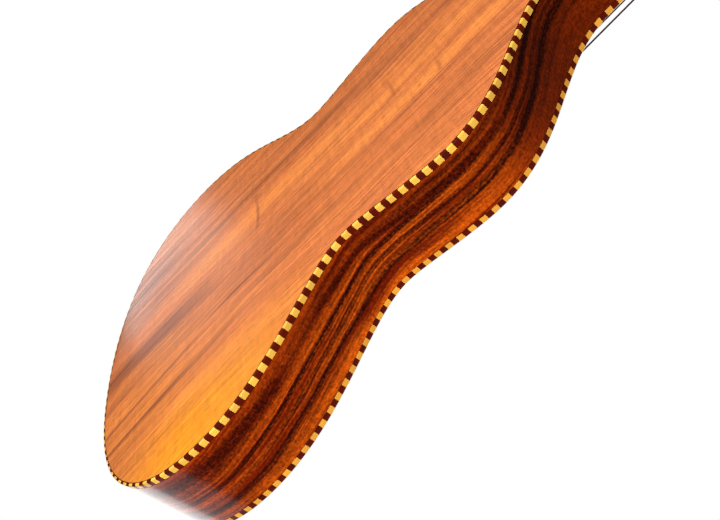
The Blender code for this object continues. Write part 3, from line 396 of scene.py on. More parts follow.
def koa_back_material():
    """Koa of the back: brown streaks and fine lines along the guitar, bright bands of painted sheen along
    its middle, gold on the bass side by the tail.
    """
    g = Finish("koa_back", coat=0.7, coat_roughness=0.30, specular=0.25)
    x, y, _ = g.split(g.here())
    x = x - TAIL_X
    drift = grain(g, x, y, 3.0, 6.0, 0.0, 2.0) - 0.5
    flare = g.span(x, 0.0, 0.24, 0.022, 0.0) * g.span(y, 0.0, 0.10)
    across = drift * 0.024 + (y - flare)
    broad = grain(g, x, across, 2.2, 46.0, 3.7)
    narrow = grain(g, x, across, 4.0, 190.0, 9.1)
    dashes = grain(g, x, across, 24.0, 430.0, 2.6, 2.0)
    curl = grain(g, x, across, 260.0, 40.0, 4.4, 2.0)
    lines = grain(g, x, across, 9.0, 620.0, 5.3, 2.0)
    pores = grain(g, x, across, 110.0, 1300.0, 1.9, 1.0)
    gold = g.span(x, 0.12, 0.34, 1.0, 0.0) * g.span(across, 0.080, 0.165)
    warm = g.span(x, 0.00, 0.24, 1.0, 0.0) * g.span(across, -0.04, 0.10, 0.0, 0.42)
    gold = g.maximum(gold, warm) * g.span(x, 0.02, 0.13, 0.45, 1.0)
    # Painted sheen: bright bands along the middle of the back, with random brighter patches of the wood's
    # own tone
    sheen_and_tone = streaks(g, x, across, BACK_SHEEN_BANDS, 0.12)
    sheen_and_tone = g.maximum(sheen_and_tone, g.span(broad, 0.52, 0.30, 0.0, 0.5))
    colour = g.mix(gold, g.mix(sheen_and_tone, KOA_LIGHT, KOA_TONE_AND_SHEEN), KOA_GOLD)
    # The broad streak on the treble side by the tail is partly painted shade
    streak = streaks(g, x, across, BACK_STREAKS, 0.10)
    dark = streak * g.span(narrow, 0.30, 0.64, 0.22, 1.25, smooth=False)
    loose = g.span(narrow, 0.48, 0.70) * g.span(broad, 0.40, 0.62, 0.06, 0.44)
    dark = g.maximum(dark, loose * (1.0 - gold * 0.6))
    for at, centre, reach, depth in BACK_MARKS:
        off = y - centre
        mark = bell(g, off * off * MARK_BEND + x, at, MARK_HALF_WIDTH) * bell(g, off, 0.0, reach)
        dark = g.maximum(dark, mark * depth)
    colour = g.mix(dark, colour, KOA_DARK)
    for share in (
        g.span(lines, 0.28, 0.72, 1.19, 0.73, smooth=False),
        g.span(dashes, 0.26, 0.74, 1.17, 0.78, smooth=False),
    ):
        colour = g.mix(gold * 0.1, g.tinted(colour, share), colour)
    colour = g.tinted(colour, g.span(curl, 0.28, 0.72, 1.09, 0.90, smooth=False))
    colour = g.mix(g.span(pores, 0.56, 0.72) * 0.60, colour, KOA_DARK)
    roughness = g.span(narrow, 0.3, 0.7, 0.26, 0.36)
    return g.done(colour, Roughness=roughness, Normal=g.bump(lines, 0.06, 0.0004))


def koa_side_material():
    """Figured koa of the sides: black lines that run along the rim over amber, with fine curl across, fine
    specks of painted sheen, and darker towards the neck, partly as painted shade.
    """
    g = Finish("koa_side", coat=0.7, coat_roughness=0.16, specular=0.1)
    along, height, _ = g.attribute("along")
    slant = (along - 0.52) * 0.050
    rise = g.span(along, 0.57, 0.72, 0.0, 0.012)
    wave = g.math("SINE", (along - 0.475) * 34.0)
    sway = grain(g, along, height, 9.0, 22.0, 0.0, 2.0) - 0.5
    across = sway * 0.010 + (wave * 0.0014 + (height + slant + rise))
    broad = grain(g, along, across, 4.0, 110.0, 2.3)
    narrow = grain(g, along, across, 9.0, 420.0, 7.7)
    curl = g.noise(g.combine(along * 250.0, across * 120.0, 4.1), 1.0, 2.0, 0.6, 1.4)
    flecks = grain(g, along, across, 160.0, 620.0, 6.4, 2.0)
    # Fine bright specks of painted sheen, which also lighten the black lines
    sheen_sparks = grain(g, along, across, 420.0, 560.0, 8.8, 1.0)
    lines = 0.0
    for centre, half, depth in SIDE_LINES:
        core = g.math("MINIMUM", bell(g, across, centre, half * 1.9) * 1.5, 1.0)
        lines = g.maximum(lines, core * depth)
    clouds = streaks(g, along, sway * 0.010 + height, SIDE_CLOUDS, 0.09)
    lines = g.maximum(lines, clouds * g.span(curl, 0.68, 0.38, 0.60, 0.95))
    lines = g.maximum(lines, streaks(g, along, across, NECK_BANDS, 0.08))
    lines = lines * g.span(narrow, 0.25, 0.60, 0.60, 1.15, smooth=False)
    red = g.span(narrow * 0.45 + broad * 0.6, 0.42, 0.62)
    near_back = g.span(across, 0.012, 0.026, 0.75, 0.0)
    # Redder towards the neck: partly the wood's own colour and partly painted shade
    neck_red_and_shade = g.span(along, 0.52, 0.62, 0.0, 0.85)
    towards_tail = g.span(along, 0.27, 0.36, 0.55, 0.0) * g.span(across, 0.05, 0.04)
    for share in (near_back, neck_red_and_shade, towards_tail, clouds):
        red = g.maximum(red, share)
    colour = g.mix(red, SIDE_AMBER, SIDE_RED)
    colour = g.tinted(colour, g.span(curl, 0.25, 0.75, 0.76, 1.26, smooth=False))
    colour = g.tinted(colour, g.span(flecks, 0.28, 0.74, 1.24, 0.70, smooth=False))
    colour = g.mix(lines * g.span(sheen_sparks, 0.30, 0.70, 1.0, 0.72), colour, SIDE_BLACK)
    by_top = g.span(across, 0.036, 0.050) * g.span(along, 0.30, 0.46, 0.34, 0.0)
    for share in (
        g.span(sheen_sparks, 0.30, 0.72, 0.74, 1.46, smooth=False), 1.0 - by_top,
        # These two tints darken the side towards the neck: partly the wood's own colour and partly painted
        # shade
        g.span(along, 0.36, 0.46, 1.0, 0.84), g.span(along, 0.56, 0.66, 1.0, 0.62),
    ):
        colour = g.tinted(colour, share)
    return g.done(colour, Normal=g.bump(flecks, 0.05, 0.0003))


# Other materials

# Fine dark rings round the soundhole
HOLE_RING_RADII = (0.0475, 0.0505)


def koa_top_material(name):
    """Koa of the face, matched about the centre line, with fine dark rings round the hole."""
    g = Finish(name, coat=0.7, coat_roughness=0.16, specular=0.25)
    x, y, _ = g.split(g.here())
    side = abs(y)
    drift = grain(g, x, side, 3.0, 7.0, 4.0, 2.0) - 0.5
    across = drift * 0.030 + side
    broad = grain(g, x, across, 2.0, 52.0, 6.1)
    narrow = grain(g, x, across, 4.0, 210.0, 8.2)
    lines = grain(g, x, across, 9.0, 700.0, 3.3, 2.0)
    curl = grain(g, side * 0.35 + (drift * 0.12 + x), across, 46.0, 15.0, 7.4, 2.0)
    figure = g.span(grain(g, x, across, 5.0, 9.0, 1.6, 1.0), 0.40, 0.62)
    colour = g.mix(g.span(broad, 0.32, 0.66), KOA_TONE_AND_SHEEN, KOA_LIGHT)
    dark = g.span(narrow, 0.46, 0.70) * g.span(broad, 0.38, 0.62, 0.2, 0.85)
    colour = g.mix(dark, colour, KOA_DARK)
    colour = g.tinted(colour, g.span(lines, 0.28, 0.72, 1.14, 0.80, smooth=False))
    colour = g.tinted(colour, g.span(curl, 0.30, 0.70, -0.13, 0.10) * figure + 1.0)
    off_x = x - (TAIL_X + SOUNDHOLE_X)
    reach = g.math("SQRT", off_x * off_x + y * y)
    for radius in HOLE_RING_RADII:
        colour = g.mix(g.span(abs(reach - radius), 0.0004, 0.0005, 1.0, 0.0), colour, SIDE_BLACK)
    return g.done(colour, Normal=g.bump(lines, 0.06, 0.0004))


def rope_material(name, colour, shaded_colour, shade):
    """One of the two woods of the rope binding, with the darker, more orange colour of its painted shade and
    its tone set block by block.
    """
    g = Finish(name, 0.28, coat=0.30, coat_roughness=0.16, specular=0.08)
    painted_shade_share, tone, _ = g.attribute("rope")
    fibre = g.noise(g.here(), 900.0, 2.0, 0.6)
    return g.done(g.mix(tone * 0.4 + fibre * 0.4, g.mix(painted_shade_share, colour, shaded_colour), shade))


def plain_wood(name, light, dark, roughness, coat=0.0):
    """A straight-grained wood with its grain along X."""
    g = Finish(name, roughness, coat=coat, coat_roughness=0.12, specular=0.3)
    stretched = g.node("ShaderNodeMapping", {"Vector": g.here(), "Scale": (6.0, 260.0, 260.0)})
    bands = g.noise(stretched, 0.35, 3.0, 0.6)
    lines = g.noise(stretched, 2.2, 3.0, 0.6)
    colour = g.mix(g.span(bands * 0.6 + lines * 0.4, 0.36, 0.64), light, dark)
    return g.done(colour, Normal=g.bump(lines, 0.15, 0.0003))


def rosewood_material():
    """Dark rosewood with fine open grain."""
    g = Finish("rosewood", 0.42, coat=0.15, coat_roughness=0.3, specular=0.35)
    x, y, _ = g.split(g.here())
    broad = grain(g, x, y, 5.0, 160.0, 1.3)
    pores = grain(g, x, y, 90.0, 1800.0, 2.4, 1.0)
    colour = g.mix(g.span(broad, 0.35, 0.65), (0.030, 0.010, 0.006), (0.085, 0.030, 0.014))
    colour = g.mix(g.span(pores, 0.56, 0.68) * 0.7, colour, (0.010, 0.004, 0.003))
    return g.done(colour, Normal=g.bump(pores, 0.25, 0.0003))


def pearl_material():
    """Mother of pearl, its tints changing softly."""
    g = Finish("pearl", 0.16, coat=0.6, coat_roughness=0.05, specular=0.6)
    sheen = g.noise(g.here(), 160.0, 2.0, 0.5, 1.2)
    tint = g.noise(g.here(), 90.0, 2.0, 0.5, 2.0)
    colour = g.mix(g.span(sheen, 0.35, 0.65), (0.62, 0.66, 0.64), (0.80, 0.74, 0.70))
    return g.done(g.mix(g.span(tint, 0.45, 0.70, 0.0, 0.5), colour, (0.45, 0.66, 0.62)))


def speckled(name, colour, other, scale, roughness, metallic=0.0, coat=0.0, bump=0.05, wire=False):
    """A plain material that varies a little from place to place; a wire shows its winding's turns."""
    g = Finish(name, roughness, metallic, coat)
    spots = g.noise(g.here(), scale, 3.0, 0.6)
    varied = g.span(spots, 0.3, 0.7, roughness * 0.85, roughness * 1.2)
    normal = g.bump(spots, bump, 0.0001)
    if wire:
        normal = g.bump(g.math("SINE", g.attribute("along")[0] * (2 * math.pi)), 0.5, 0.00006)
    return g.done(g.mix(g.span(spots, 0.35, 0.65), colour, other), Roughness=varied, Normal=normal)


# Looks by name: the materials, and the slot of the part that they fill
LOOKS = {
    "koa back": ([koa_back_material()], "koa_back"),
    "koa side": ([koa_side_material()], "koa_side"),
    "koa top": ([koa_top_material("koa_top")], "koa_top"),
    "koa head": ([koa_top_material("head_koa")], "koa_top"),
    "rope": ([
        # Rope woods: colour, the darker and more orange colour of painted shade on the top rope, and a
        # darker tone
        rope_material("rope_light", (0.97, 0.565, 0.078), (0.96, 0.425, 0.042), (0.62, 0.30, 0.05)),
        rope_material("rope_dark", (0.125, 0.0075, 0.001), (0.125, 0.0075, 0.001), (0.045, 0.006, 0.004)),
    ], "rope_binding"),
    "line": ([plain_wood("purfling_wood", (0.035, 0.008, 0.006), (0.02, 0.005, 0.004), 0.35)], "rosewood"),
    "rosewood": ([rosewood_material()], "rosewood"),
    "mahogany": (
        [plain_wood("mahogany", (0.24, 0.075, 0.034), (0.13, 0.036, 0.018), 0.45, 0.3)], "mahogany",
    ),
    "spruce": ([plain_wood("spruce", (0.66, 0.44, 0.22), (0.46, 0.27, 0.11), 0.65)], None),
    "cap": ([plain_wood("cap_koa", (0.20, 0.05, 0.02), (0.10, 0.02, 0.01), 0.3, 0.6)], None),
    "pearl": ([pearl_material()], "bone"),
    "bone": ([speckled("bone", (0.78, 0.71, 0.55), (0.70, 0.61, 0.44), 240.0, 0.30, coat=0.3)], "bone"),
    "dot": ([speckled("dark_dot", (0.02, 0.015, 0.012), (0.03, 0.02, 0.015), 400.0, 0.3)], "bone"),
    "fret": ([speckled("fret_metal", (0.62, 0.60, 0.56), (0.50, 0.48, 0.44), 900.0, 0.32, 1.0)], "nickel"),
    "nickel": (
        [speckled("nickel", (0.68, 0.66, 0.61), (0.62, 0.60, 0.55), 90.0, 0.26, 0.75, bump=0.01)], "nickel",
    ),
    "cream": (
        [speckled("cream_button", (0.78, 0.64, 0.40), (0.70, 0.54, 0.31), 130.0, 0.22, coat=0.5)],
        "knob_cream",
    ),
    "bronze": (
        # The bronze wire's colour is far darker than bronze: painted shade for the dark surroundings the
        # wound strings mirror
        [speckled("bronze_wire", (0.10, 0.036, 0.022), (0.06, 0.020, 0.013), 700.0, 0.42, 1.0, wire=True)],
        "bronze_string",
    ),
    "steel": (
        [speckled("steel_wire", (0.60, 0.60, 0.60), (0.46, 0.46, 0.46), 700.0, 0.28, 1.0, wire=True)],
        "steel_string",
    ),
}


# Mesh builders

def mesh_from(name, build, sharp_from=SHARP_FROM):
    """A mesh whose faces point out, from a function that fills a bmesh."""
    bm = bmesh.new()
    build(bm)
    bmesh.ops.recalc_face_normals(bm, faces=bm.faces)
    mesh = bpy.data.meshes.new(name)
    bm.to_mesh(mesh)
    bm.free()
    mesh.shade_smooth()
    mesh.set_sharp_from_angle(angle=math.radians(sharp_from))
    return mesh


def add_piece(name, build, look, *replaced, within=None, body="guitar", sharp_from=SHARP_FROM):
    """A piece built in its own frame, with its materials, the body it rides and what it stands for."""
    mesh = mesh_from(name, build, sharp_from)
    if within:
        mesh.transform(within)
    mats, slot = LOOKS[look]
    for mat in mats:
        mesh.materials.append(mat)
    obj = bpy.data.objects.new(name, mesh)
    bpy.context.scene.collection.objects.link(obj)
    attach(obj, body)
    if replaced:
        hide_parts(*replaced)


def around(items):
    """The same loop of items, started one later."""
    return items[1:] + items[:1]


def skin(bm, rings, closed=False, caps=True):
    """Faces between rings of equal counts, each ring a closed loop. Gives the loops, and faces by gap."""
    loops = [[bm.verts.new(point) for point in ring] for ring in rings]
    pairs = list(zip(loops, loops[1:]))
    if closed:
        pairs.append((loops[-1], loops[0]))
    rows = [[bm.faces.new(four) for four in zip(a, around(a), around(b), b)] for a, b in pairs]
    if caps and not closed:
        bm.faces.new(loops[0])
        bm.faces.new(loops[-1])
    return loops, rows


def arc(centre, radius, start, end, steps):
    """Points (x, y) on an arc from the start angle to the end angle."""
    x, y = centre
    angles = evenly(steps, start, end)
    return [(x + radius * math.cos(a), y + radius * math.sin(a)) for a in angles]


def level(outline, *heights):
    """The outline at each height, as rings."""
    return [[(x, y, z) for x, y in outline] for z in heights]


def circle(centre, radius, sides, z=0.0):
    return level(arc(centre, radius, 0.0, 2 * math.pi, sides)[:-1], z)[0]


def rounding(radius):
    """A rounded edge as (inset, rise), from the flat face out to the upright one."""
    angles = evenly(EDGE_STEPS, 0.0, math.pi / 2)
    return [(radius * (1 - math.sin(a)), radius * (1 - math.cos(a))) for a in angles]


def trapezoid(start, start_half, end, end_half):
    """Outline across the centre line, from its start to its end along X."""
    return [(start, -start_half), (end, -end_half), (end, end_half), (start, start_half)]


def bored_slab(bm, rings, bores):
    """A slab skinned over its rings, with round holes bored through from the first to the last."""
    loops = skin(bm, rings, caps=False)[0]
    mouths = []
    for k in (0, -1):
        holes = []
        for centre, radius in bores:
            sides = SOUNDHOLE_SIDES if radius > SOUNDHOLE_RADIUS else BORE_SIDES
            holes.append([bm.verts.new(point) for point in circle(centre, radius, sides, rings[k][0][2])])
        pairs = [pair for closed in [loops[k]] + holes for pair in zip(closed, around(closed))]
        edges = [bm.edges.get(pair) or bm.edges.new(pair) for pair in pairs]
        bmesh.ops.triangle_fill(bm, edges=edges, use_beauty=True)
        mouths.append(holes)
    for low, high in zip(*mouths):
        for four in zip(low, around(low), around(high), high):
            bm.faces.new(four)


def moved(bm, matrix, build):
    """What build adds to the bmesh, moved by the matrix."""
    before = len(bm.verts)
    build(bm)
    bm.verts.ensure_lookup_table()
    bmesh.ops.transform(bm, matrix=matrix, verts=bm.verts[before:])


def turned(bm, profile, sides, centre=(0.0, 0.0)):
    """A solid turned about the upright line through the centre, from (radius, height) points."""
    skin(bm, [circle(centre, radius, sides, z) for radius, z in profile])


def ring_solid(bm, section, sides, centre):
    """A solid ring from its section of (radius, height) points. Gives its faces by step."""
    circles = [circle(centre, radius, sides, z) for radius, z in section]
    return skin(bm, [list(ring) for ring in zip(*circles)], closed=True)[1]


def store_along(bm, loops, lengths):
    """Keeps each ring's length along the piece and each corner's height above the rim, for the grain."""
    layer = bm.loops.layers.float_vector.new("along")
    for ring, length in zip(loops, lengths):
        for vert in ring:
            for loop in vert.link_loops:
                loop[layer] = (length, vert.co.z - rim_z(vert.co.x - TAIL_X), 0.0)


# Rope binding

# One light and one dark block of the rope, and where the first pair starts
ROPE_PAIR = 0.01136
ROPE_STARTS = {"back_rope": -0.01021, "top_rope": -0.00906}
# How much painted shade each rope gets: the top rope is painted darker and more orange, where less light
# falls on it
ROPE_PAINTED_SHADE = {"back_rope": 0.0, "top_rope": 1.0}
ROPE_EDGE_RADIUS = 0.0011


def paint_blocks(bm, rows, blocks, rng, painted_shade=0.0):
    """Gives each row of faces the light or the dark wood of its block, with its share of painted shade and
    the block's own tone.
    """
    layer = bm.loops.layers.float_vector.new("rope")
    tones = {block: rng.random() for block in sorted(set(blocks))}
    for row, block in zip(rows, blocks):
        for face in row:
            face.material_index = block % 2
            for loop in face.loops:
                loop[layer] = (painted_shade, tones[block], 0.0)


def drawn_in_path(points, width):
    """The same points moved to their left by the width, with mitred corners."""
    runs = [Vector(b) - Vector(a) for a, b in zip(points, points[1:])]
    left = [Vector((-run.y, run.x)).normalized() for run in runs]
    corners = zip(points, left[:1] + left, left + left[-1:])
    return [Vector(point) + (a + b) / (1 + a.dot(b)) * width for point, a, b in corners]


def rope_strip(bm, points, low, high, seed):
    """A flat strip of rope blocks that follows a path, its width lying to the path's left."""
    inner = drawn_in_path(points, STRIP_WIDTH)
    runs = [(Vector(b) - Vector(a)).length for a, b in zip(points, points[1:])]
    ends = np.concatenate(([0.0], np.cumsum(runs)))
    total = float(ends[-1])
    count = max(round(total / (ROPE_PAIR / 2)), 1)
    marks = sorted({round(float(s), 7) for s in [*ends, *evenly(count, 0.0, total)]})
    rings = []
    for s in marks:
        (ox, oy), (ix, iy) = [
            [np.interp(s, ends, [p[axis] for p in path]) for axis in (0, 1)] for path in (points, inner)
        ]
        rings.append([(ox, oy, low), (ox, oy, high), (ix, iy, high), (ix, iy, low)])
    blocks = [int(s / total * count + 1e-4) for s in marks[:-1]]
    paint_blocks(bm, skin(bm, rings)[1], blocks, random.Random(seed))


# Box: back, sides, rope binding and purfling

# Lengths along the whole rim, from the treble neck's end round the tail to the bass one
RIM_LENGTHS = evenly(round(2 * OUTLINE.total / OUTLINE_STEP), -OUTLINE.total, OUTLINE.total)


def build_back(bm):
    rings = []
    for x, half in OUTLINE.drawn_in(PANEL_INSET):
        under = [(y, back_z(x, y, half)) for y in evenly(BACK_COLUMNS, -half, half)]
        ring = [place(x, y, z) for y, z in under]
        rings.append(ring + [place(x, y, z + BACK_THICKNESS) for y, z in reversed(under)])
    skin(bm, rings)


def rim_rings(lengths, section):
    """Rings that carry a section of (inset, height) round the rim; height is a function of x."""
    rings = []
    for s in lengths:
        spots = [(OUTLINE.at(s, inset), height) for inset, height in section]
        rings.append([place(x, y, height(x)) for (x, y), height in spots])
    return rings


def above_rim(rise):
    return lambda x: rim_z(x) + rise


def below_top(drop):
    return lambda x: top_z(x) - drop


def rim_piece(name, lengths, section, look, *replaced, finish=None):
    """A piece that follows the rim; finish, if given, gets the bmesh and what skin gives."""
    def build(bm):
        skinned = skin(bm, rim_rings(lengths, section))
        if finish:
            finish(bm, *skinned)
    add_piece(name, build, look, *replaced)


def build_wall(name, side, node):
    """A side of the box, with its length along the rim and its height kept for the grain."""
    low, high = above_rim(BINDING_HEIGHT + GAP), below_top(BINDING_HEIGHT + GAP)
    steps = round(OUTLINE.total / OUTLINE_STEP)
    lengths = [max(s, GAP / 2) for s in evenly(steps, 0.0, OUTLINE.total)]
    section = [(0.0, low), (0.0, high), (SIDE_THICKNESS, high), (SIDE_THICKNESS, low)]

    def finish(bm, loops, _):
        store_along(bm, loops, lengths)
    rim_piece(name, [side * s for s in lengths], section, "koa side", node, finish=finish)


def build_rope(name, edge, node):
    """The rope binding round a rim, one light and one dark block after another."""
    quarter = ROPE_PAIR / 4
    first, last = [(end - ROPE_STARTS[name]) / quarter for end in (-OUTLINE.total, OUTLINE.total)]
    marks = range(math.ceil(first), math.floor(last) + 1)
    lengths = [-OUTLINE.total, *[ROPE_STARTS[name] + k * quarter for k in marks], OUTLINE.total]
    blocks = [k // 2 for k in (marks[0] - 1, *marks)]
    section = [(inset, edge(rise)) for inset, rise in rounding(ROPE_EDGE_RADIUS)]
    section += [(0.0, edge(BINDING_HEIGHT)), (BINDING_THICKNESS, edge(BINDING_HEIGHT))]
    section.append((BINDING_THICKNESS, edge(0.0)))

    def finish(bm, _, rows):
        paint_blocks(bm, rows, blocks, random.Random(7), ROPE_PAINTED_SHADE[name])
    rim_piece(name, lengths, section, "rope", node, finish=finish)


def build_purfling(name, low, high):
    """The thin dark line inside a rope binding."""
    section = [
        (BINDING_THICKNESS, low), (BINDING_THICKNESS, high), (PANEL_INSET, high), (PANEL_INSET, low),
    ]
    rim_piece(name, RIM_LENGTHS, section, "line")


def build_box():
    add_piece("back_panel", build_back, "koa back", "back_plate")
    build_wall("bass_wall", 1, "bass_side")
    build_wall("treble_wall", -1, "treble_side")
    build_rope("back_rope", above_rim, "back_binding")
    build_rope("top_rope", below_top, "top_binding")
    build_purfling("back_purfling", above_rim(0.0), above_rim(BACK_THICKNESS))
    build_purfling("top_purfling", below_top(TOP_THICKNESS), below_top(0.0))


# Face: soundboard, rope round the hole, fingerboard, bridge and pins

SOUNDHOLE_BINDING_WIDTH = 0.003
HOLE_ROPE_OUTER = SOUNDHOLE_RADIUS + SOUNDHOLE_BINDING_WIDTH
HOLE_ROPE_BEVEL = 0.0006
HOLE_ROPE_STEPS = 8
FINGERBOARD_END_X = 0.380
FINGERBOARD_THICKNESS = 0.004
FINGERBOARD_NUT_HALF = 0.0245
FINGERBOARD_END_HALF = 0.0300
FRET_COUNT = 19
FRET_HALF = 0.0004
INLAY_DEPTH = 0.001
INLAY_RISE = 0.00004
MARKED_FRETS = (5, 7, 9, 12, 15, 17)
OCTAVE_FRET = 12
MARKER_RADIUS = 0.0032
OCTAVE_MARKER_Y = 0.0095
STRIP_WIDTH = 0.0022
SADDLE_X = NUT_X - SCALE_LENGTH
BRIDGE_FRONT = 0.0105
BRIDGE_REAR = 0.0205
BRIDGE_HEIGHT = 0.008
BRIDGE_BLOCK_HALF = 0.036
BRIDGE_HALF = 0.082
BRIDGE_WING_HEIGHT = 0.0042
BRIDGE_ROUNDING = 0.0014
BRIDGE_WING_STEPS = 16
# Shares of a wing's length and of its height and width: how soon it drops, and how it narrows
WING_DROP = 0.12
WING_STEP_IN = 0.16
WING_TAPER = 0.38
STRING_COUNT = 6
BRIDGE_SPREAD = 0.054
PIN_SETBACK = 0.013
PIN_RADIUS = 0.0025
PIN_HEAD_RADIUS = 0.0033
PIN_HEAD_HEIGHT = 0.0042
PIN_DOME_START = 0.0012
# Radii and heights of a pin below its dome, and of the dot in its top, both from the head's seat
PIN_PROFILE = (
    (0.0018, -0.0123), (PIN_RADIUS, -0.0023), (PIN_RADIUS, 0.0), (PIN_HEAD_RADIUS, 0.0005),
    (PIN_HEAD_RADIUS, PIN_DOME_START),
)
DOT_PROFILE = ((0.0011, 0.0030), (0.0011, 0.0041), (0.0004, 0.0043))

# Frame of the soundboard's tilted face, from the top of its tail end
TOP_FRAME = Matrix.Translation(place(0.0, 0.0, top_z(0.0))) @ Matrix.Rotation(TOP_TILT, 4, "Y")


def along_top(x):
    return x / math.cos(TOP_TILT)


BOARD_START = along_top(FINGERBOARD_END_X)
BOARD_NUT = along_top(NUT_X)
BOARD_END = BOARD_NUT - GAP
BOARD_TOP = GAP + FINGERBOARD_THICKNESS
HOLE_CENTRE = (along_top(SOUNDHOLE_X), 0.0)
SADDLE_AT = along_top(SADDLE_X)


def string_y(number, spread):
    return spread / 2 - spread * number / (STRING_COUNT - 1)


PIN_CENTRES = [(SADDLE_AT - PIN_SETBACK, string_y(number, BRIDGE_SPREAD)) for number in range(STRING_COUNT)]


def fret_x(number):
    """Where a fret lies along the face: each is a twelfth root of two nearer to the saddle."""
    return BOARD_NUT - along_top(SCALE_LENGTH) * (1 - 2 ** (-number / 12))


def face_piece(name, build, look, *replaced):
    add_piece(name, build, look, *replaced, within=TOP_FRAME)


def build_soundboard(bm):
    line = [OUTLINE.at(s, PANEL_INSET) for s in RIM_LENGTHS]
    bores = [(HOLE_CENTRE, HOLE_ROPE_OUTER)] + [(centre, PIN_RADIUS + GAP) for centre in PIN_CENTRES]
    bored_slab(bm, level([(along_top(x), y) for x, y in line], -TOP_THICKNESS, 0.0), bores)


def build_hole_rope(bm):
    """Rope binding round the soundhole, in light and dark blocks."""
    pairs = round(2 * math.pi * HOLE_ROPE_OUTER / ROPE_PAIR)
    section = [
        (SOUNDHOLE_RADIUS, -TOP_THICKNESS), (HOLE_ROPE_OUTER, -TOP_THICKNESS), (HOLE_ROPE_OUTER, 0.0),
        (SOUNDHOLE_RADIUS + HOLE_ROPE_BEVEL, 0.0), (SOUNDHOLE_RADIUS, -HOLE_ROPE_BEVEL),
    ]
    rows = ring_solid(bm, section, pairs * HOLE_ROPE_STEPS, HOLE_CENTRE)
    paint_blocks(bm, rows, [2 * k // HOLE_ROPE_STEPS for k in range(len(rows))], random.Random(11))


def board_half(x):
    """Half width of the fingerboard at this distance along the face."""
    share = (x - BOARD_START) / (BOARD_NUT - BOARD_START)
    return FINGERBOARD_END_HALF + (FINGERBOARD_NUT_HALF - FINGERBOARD_END_HALF) * share


def board_outline(edge):
    """The fingerboard's outline, with an edge strip taken off at its sides and its end."""
    halves = [board_half(x) - edge for x in (BOARD_START, BOARD_END)]
    return trapezoid(BOARD_START + edge, halves[0], BOARD_END, halves[1])


def build_fretboard(bm):
    skin(bm, level(board_outline(STRIP_WIDTH), GAP, BOARD_TOP))


def build_fretboard_rope(bm):
    treble_start, treble_end, bass_end, bass_start = board_outline(0.0)
    rope_strip(bm, [bass_end, bass_start, treble_start, treble_end], GAP, BOARD_TOP, 3)


def build_frets(bm):
    for number in range(1, FRET_COUNT + 1):
        x = fret_x(number)
        half = board_half(x) - STRIP_WIDTH
        outline = trapezoid(x - FRET_HALF, half, x + FRET_HALF, half)
        skin(bm, level(outline, BOARD_TOP - INLAY_DEPTH, BOARD_TOP + INLAY_RISE))


def build_markers(bm):
    heights = (BOARD_TOP - INLAY_DEPTH, BOARD_TOP + INLAY_RISE)
    for number in MARKED_FRETS:
        x = (fret_x(number - 1) + fret_x(number)) / 2
        for y in (-OCTAVE_MARKER_Y, OCTAVE_MARKER_Y) if number == OCTAVE_FRET else (0.0,):
            turned(bm, [(MARKER_RADIUS, z) for z in heights], 32, (x, y))


def bridge_section(y):
    """Section of the bridge at this distance from its middle, its two upper edges rounded."""
    out = max(abs(y) - BRIDGE_BLOCK_HALF, 0.0) / (BRIDGE_HALF - BRIDGE_BLOCK_HALF)
    drop = min(out / WING_DROP, 1.0)
    swoop = (1 - math.cos(math.pi * drop)) / 2
    height = BRIDGE_HEIGHT + (BRIDGE_WING_HEIGHT - BRIDGE_HEIGHT) * swoop
    height -= BRIDGE_WING_HEIGHT * WING_TAPER * out ** 2
    reach = (BRIDGE_FRONT + BRIDGE_REAR) / 2 * (1 - WING_STEP_IN * drop - WING_TAPER * out ** 2)
    radius = min(BRIDGE_ROUNDING, height / 3)
    middle = SADDLE_AT + (BRIDGE_FRONT - BRIDGE_REAR) / 2
    points = [(middle - reach, GAP), (middle + reach, GAP)]
    for side, start in ((1, 0.0), (-1, math.pi / 2)):
        corner = (middle + side * (reach - radius), height - radius)
        points += arc(corner, radius, start, start + math.pi / 2, EDGE_STEPS)
    return points


def build_bridge(bm):
    wing = evenly(BRIDGE_WING_STEPS, BRIDGE_BLOCK_HALF, BRIDGE_HALF)
    ys = [-y for y in reversed(wing)] + [0.0] + wing
    skin(bm, [[(x, y, z) for x, z in bridge_section(y)] for y in ys])


def build_pins():
    dome = [
        (PIN_HEAD_RADIUS * x, PIN_DOME_START + (PIN_HEAD_HEIGHT - PIN_DOME_START) * z)
        for x, z in arc((0.0, 0.0), 1.0, 0.0, math.pi / 2, 8)[1:-1]
    ]
    pin, dot = [
        [(radius, BRIDGE_HEIGHT + GAP + rise) for radius, rise in profile]
        for profile in ((*PIN_PROFILE, *dome), DOT_PROFILE)
    ]
    for number, centre in enumerate(PIN_CENTRES, 1):
        face_piece(f"pin_{number}", lambda bm: turned(bm, pin, 28, centre), "bone", f"bridge_pin_{number}")
        face_piece(f"pin_dot_{number}", lambda bm: turned(bm, dot, 20, centre), "dot")


def build_face():
    face_piece("soundboard_panel", build_soundboard, "koa top", "soundboard")
    face_piece("hole_rope", build_hole_rope, "rope", "soundhole_binding")
    face_piece("fretboard", build_fretboard, "rosewood", "fingerboard")
    face_piece("fretboard_rope", build_fretboard_rope, "rope")
    face_piece("fret_lines", build_frets, "fret")
    face_piece("markers", build_markers, "pearl")
    face_piece("bridge_body", build_bridge, "rosewood", "bridge")
    build_pins()


# Head: headstock, veneer, bushings and tuning machines

HEAD_ANGLE = math.radians(7.0)
HEAD_LENGTH = 0.138
HEAD_THICKNESS = 0.013
VENEER_THICKNESS = 0.0018
HEAD_SHOULDER_X = 0.020
HEAD_SHOULDER_HALF = 0.0328
HEAD_TOP_HALF = 0.0360
HEAD_CREST = 0.008
HEAD_CREST_POWER = 1.8
HEAD_EDGE_RADIUS = 0.0014
POST_XS = (0.032, 0.067, 0.102)
POST_ROW_HALF = 0.024
POST_RADIUS = 0.0030
POST_ABOVE_FACE = 0.0125
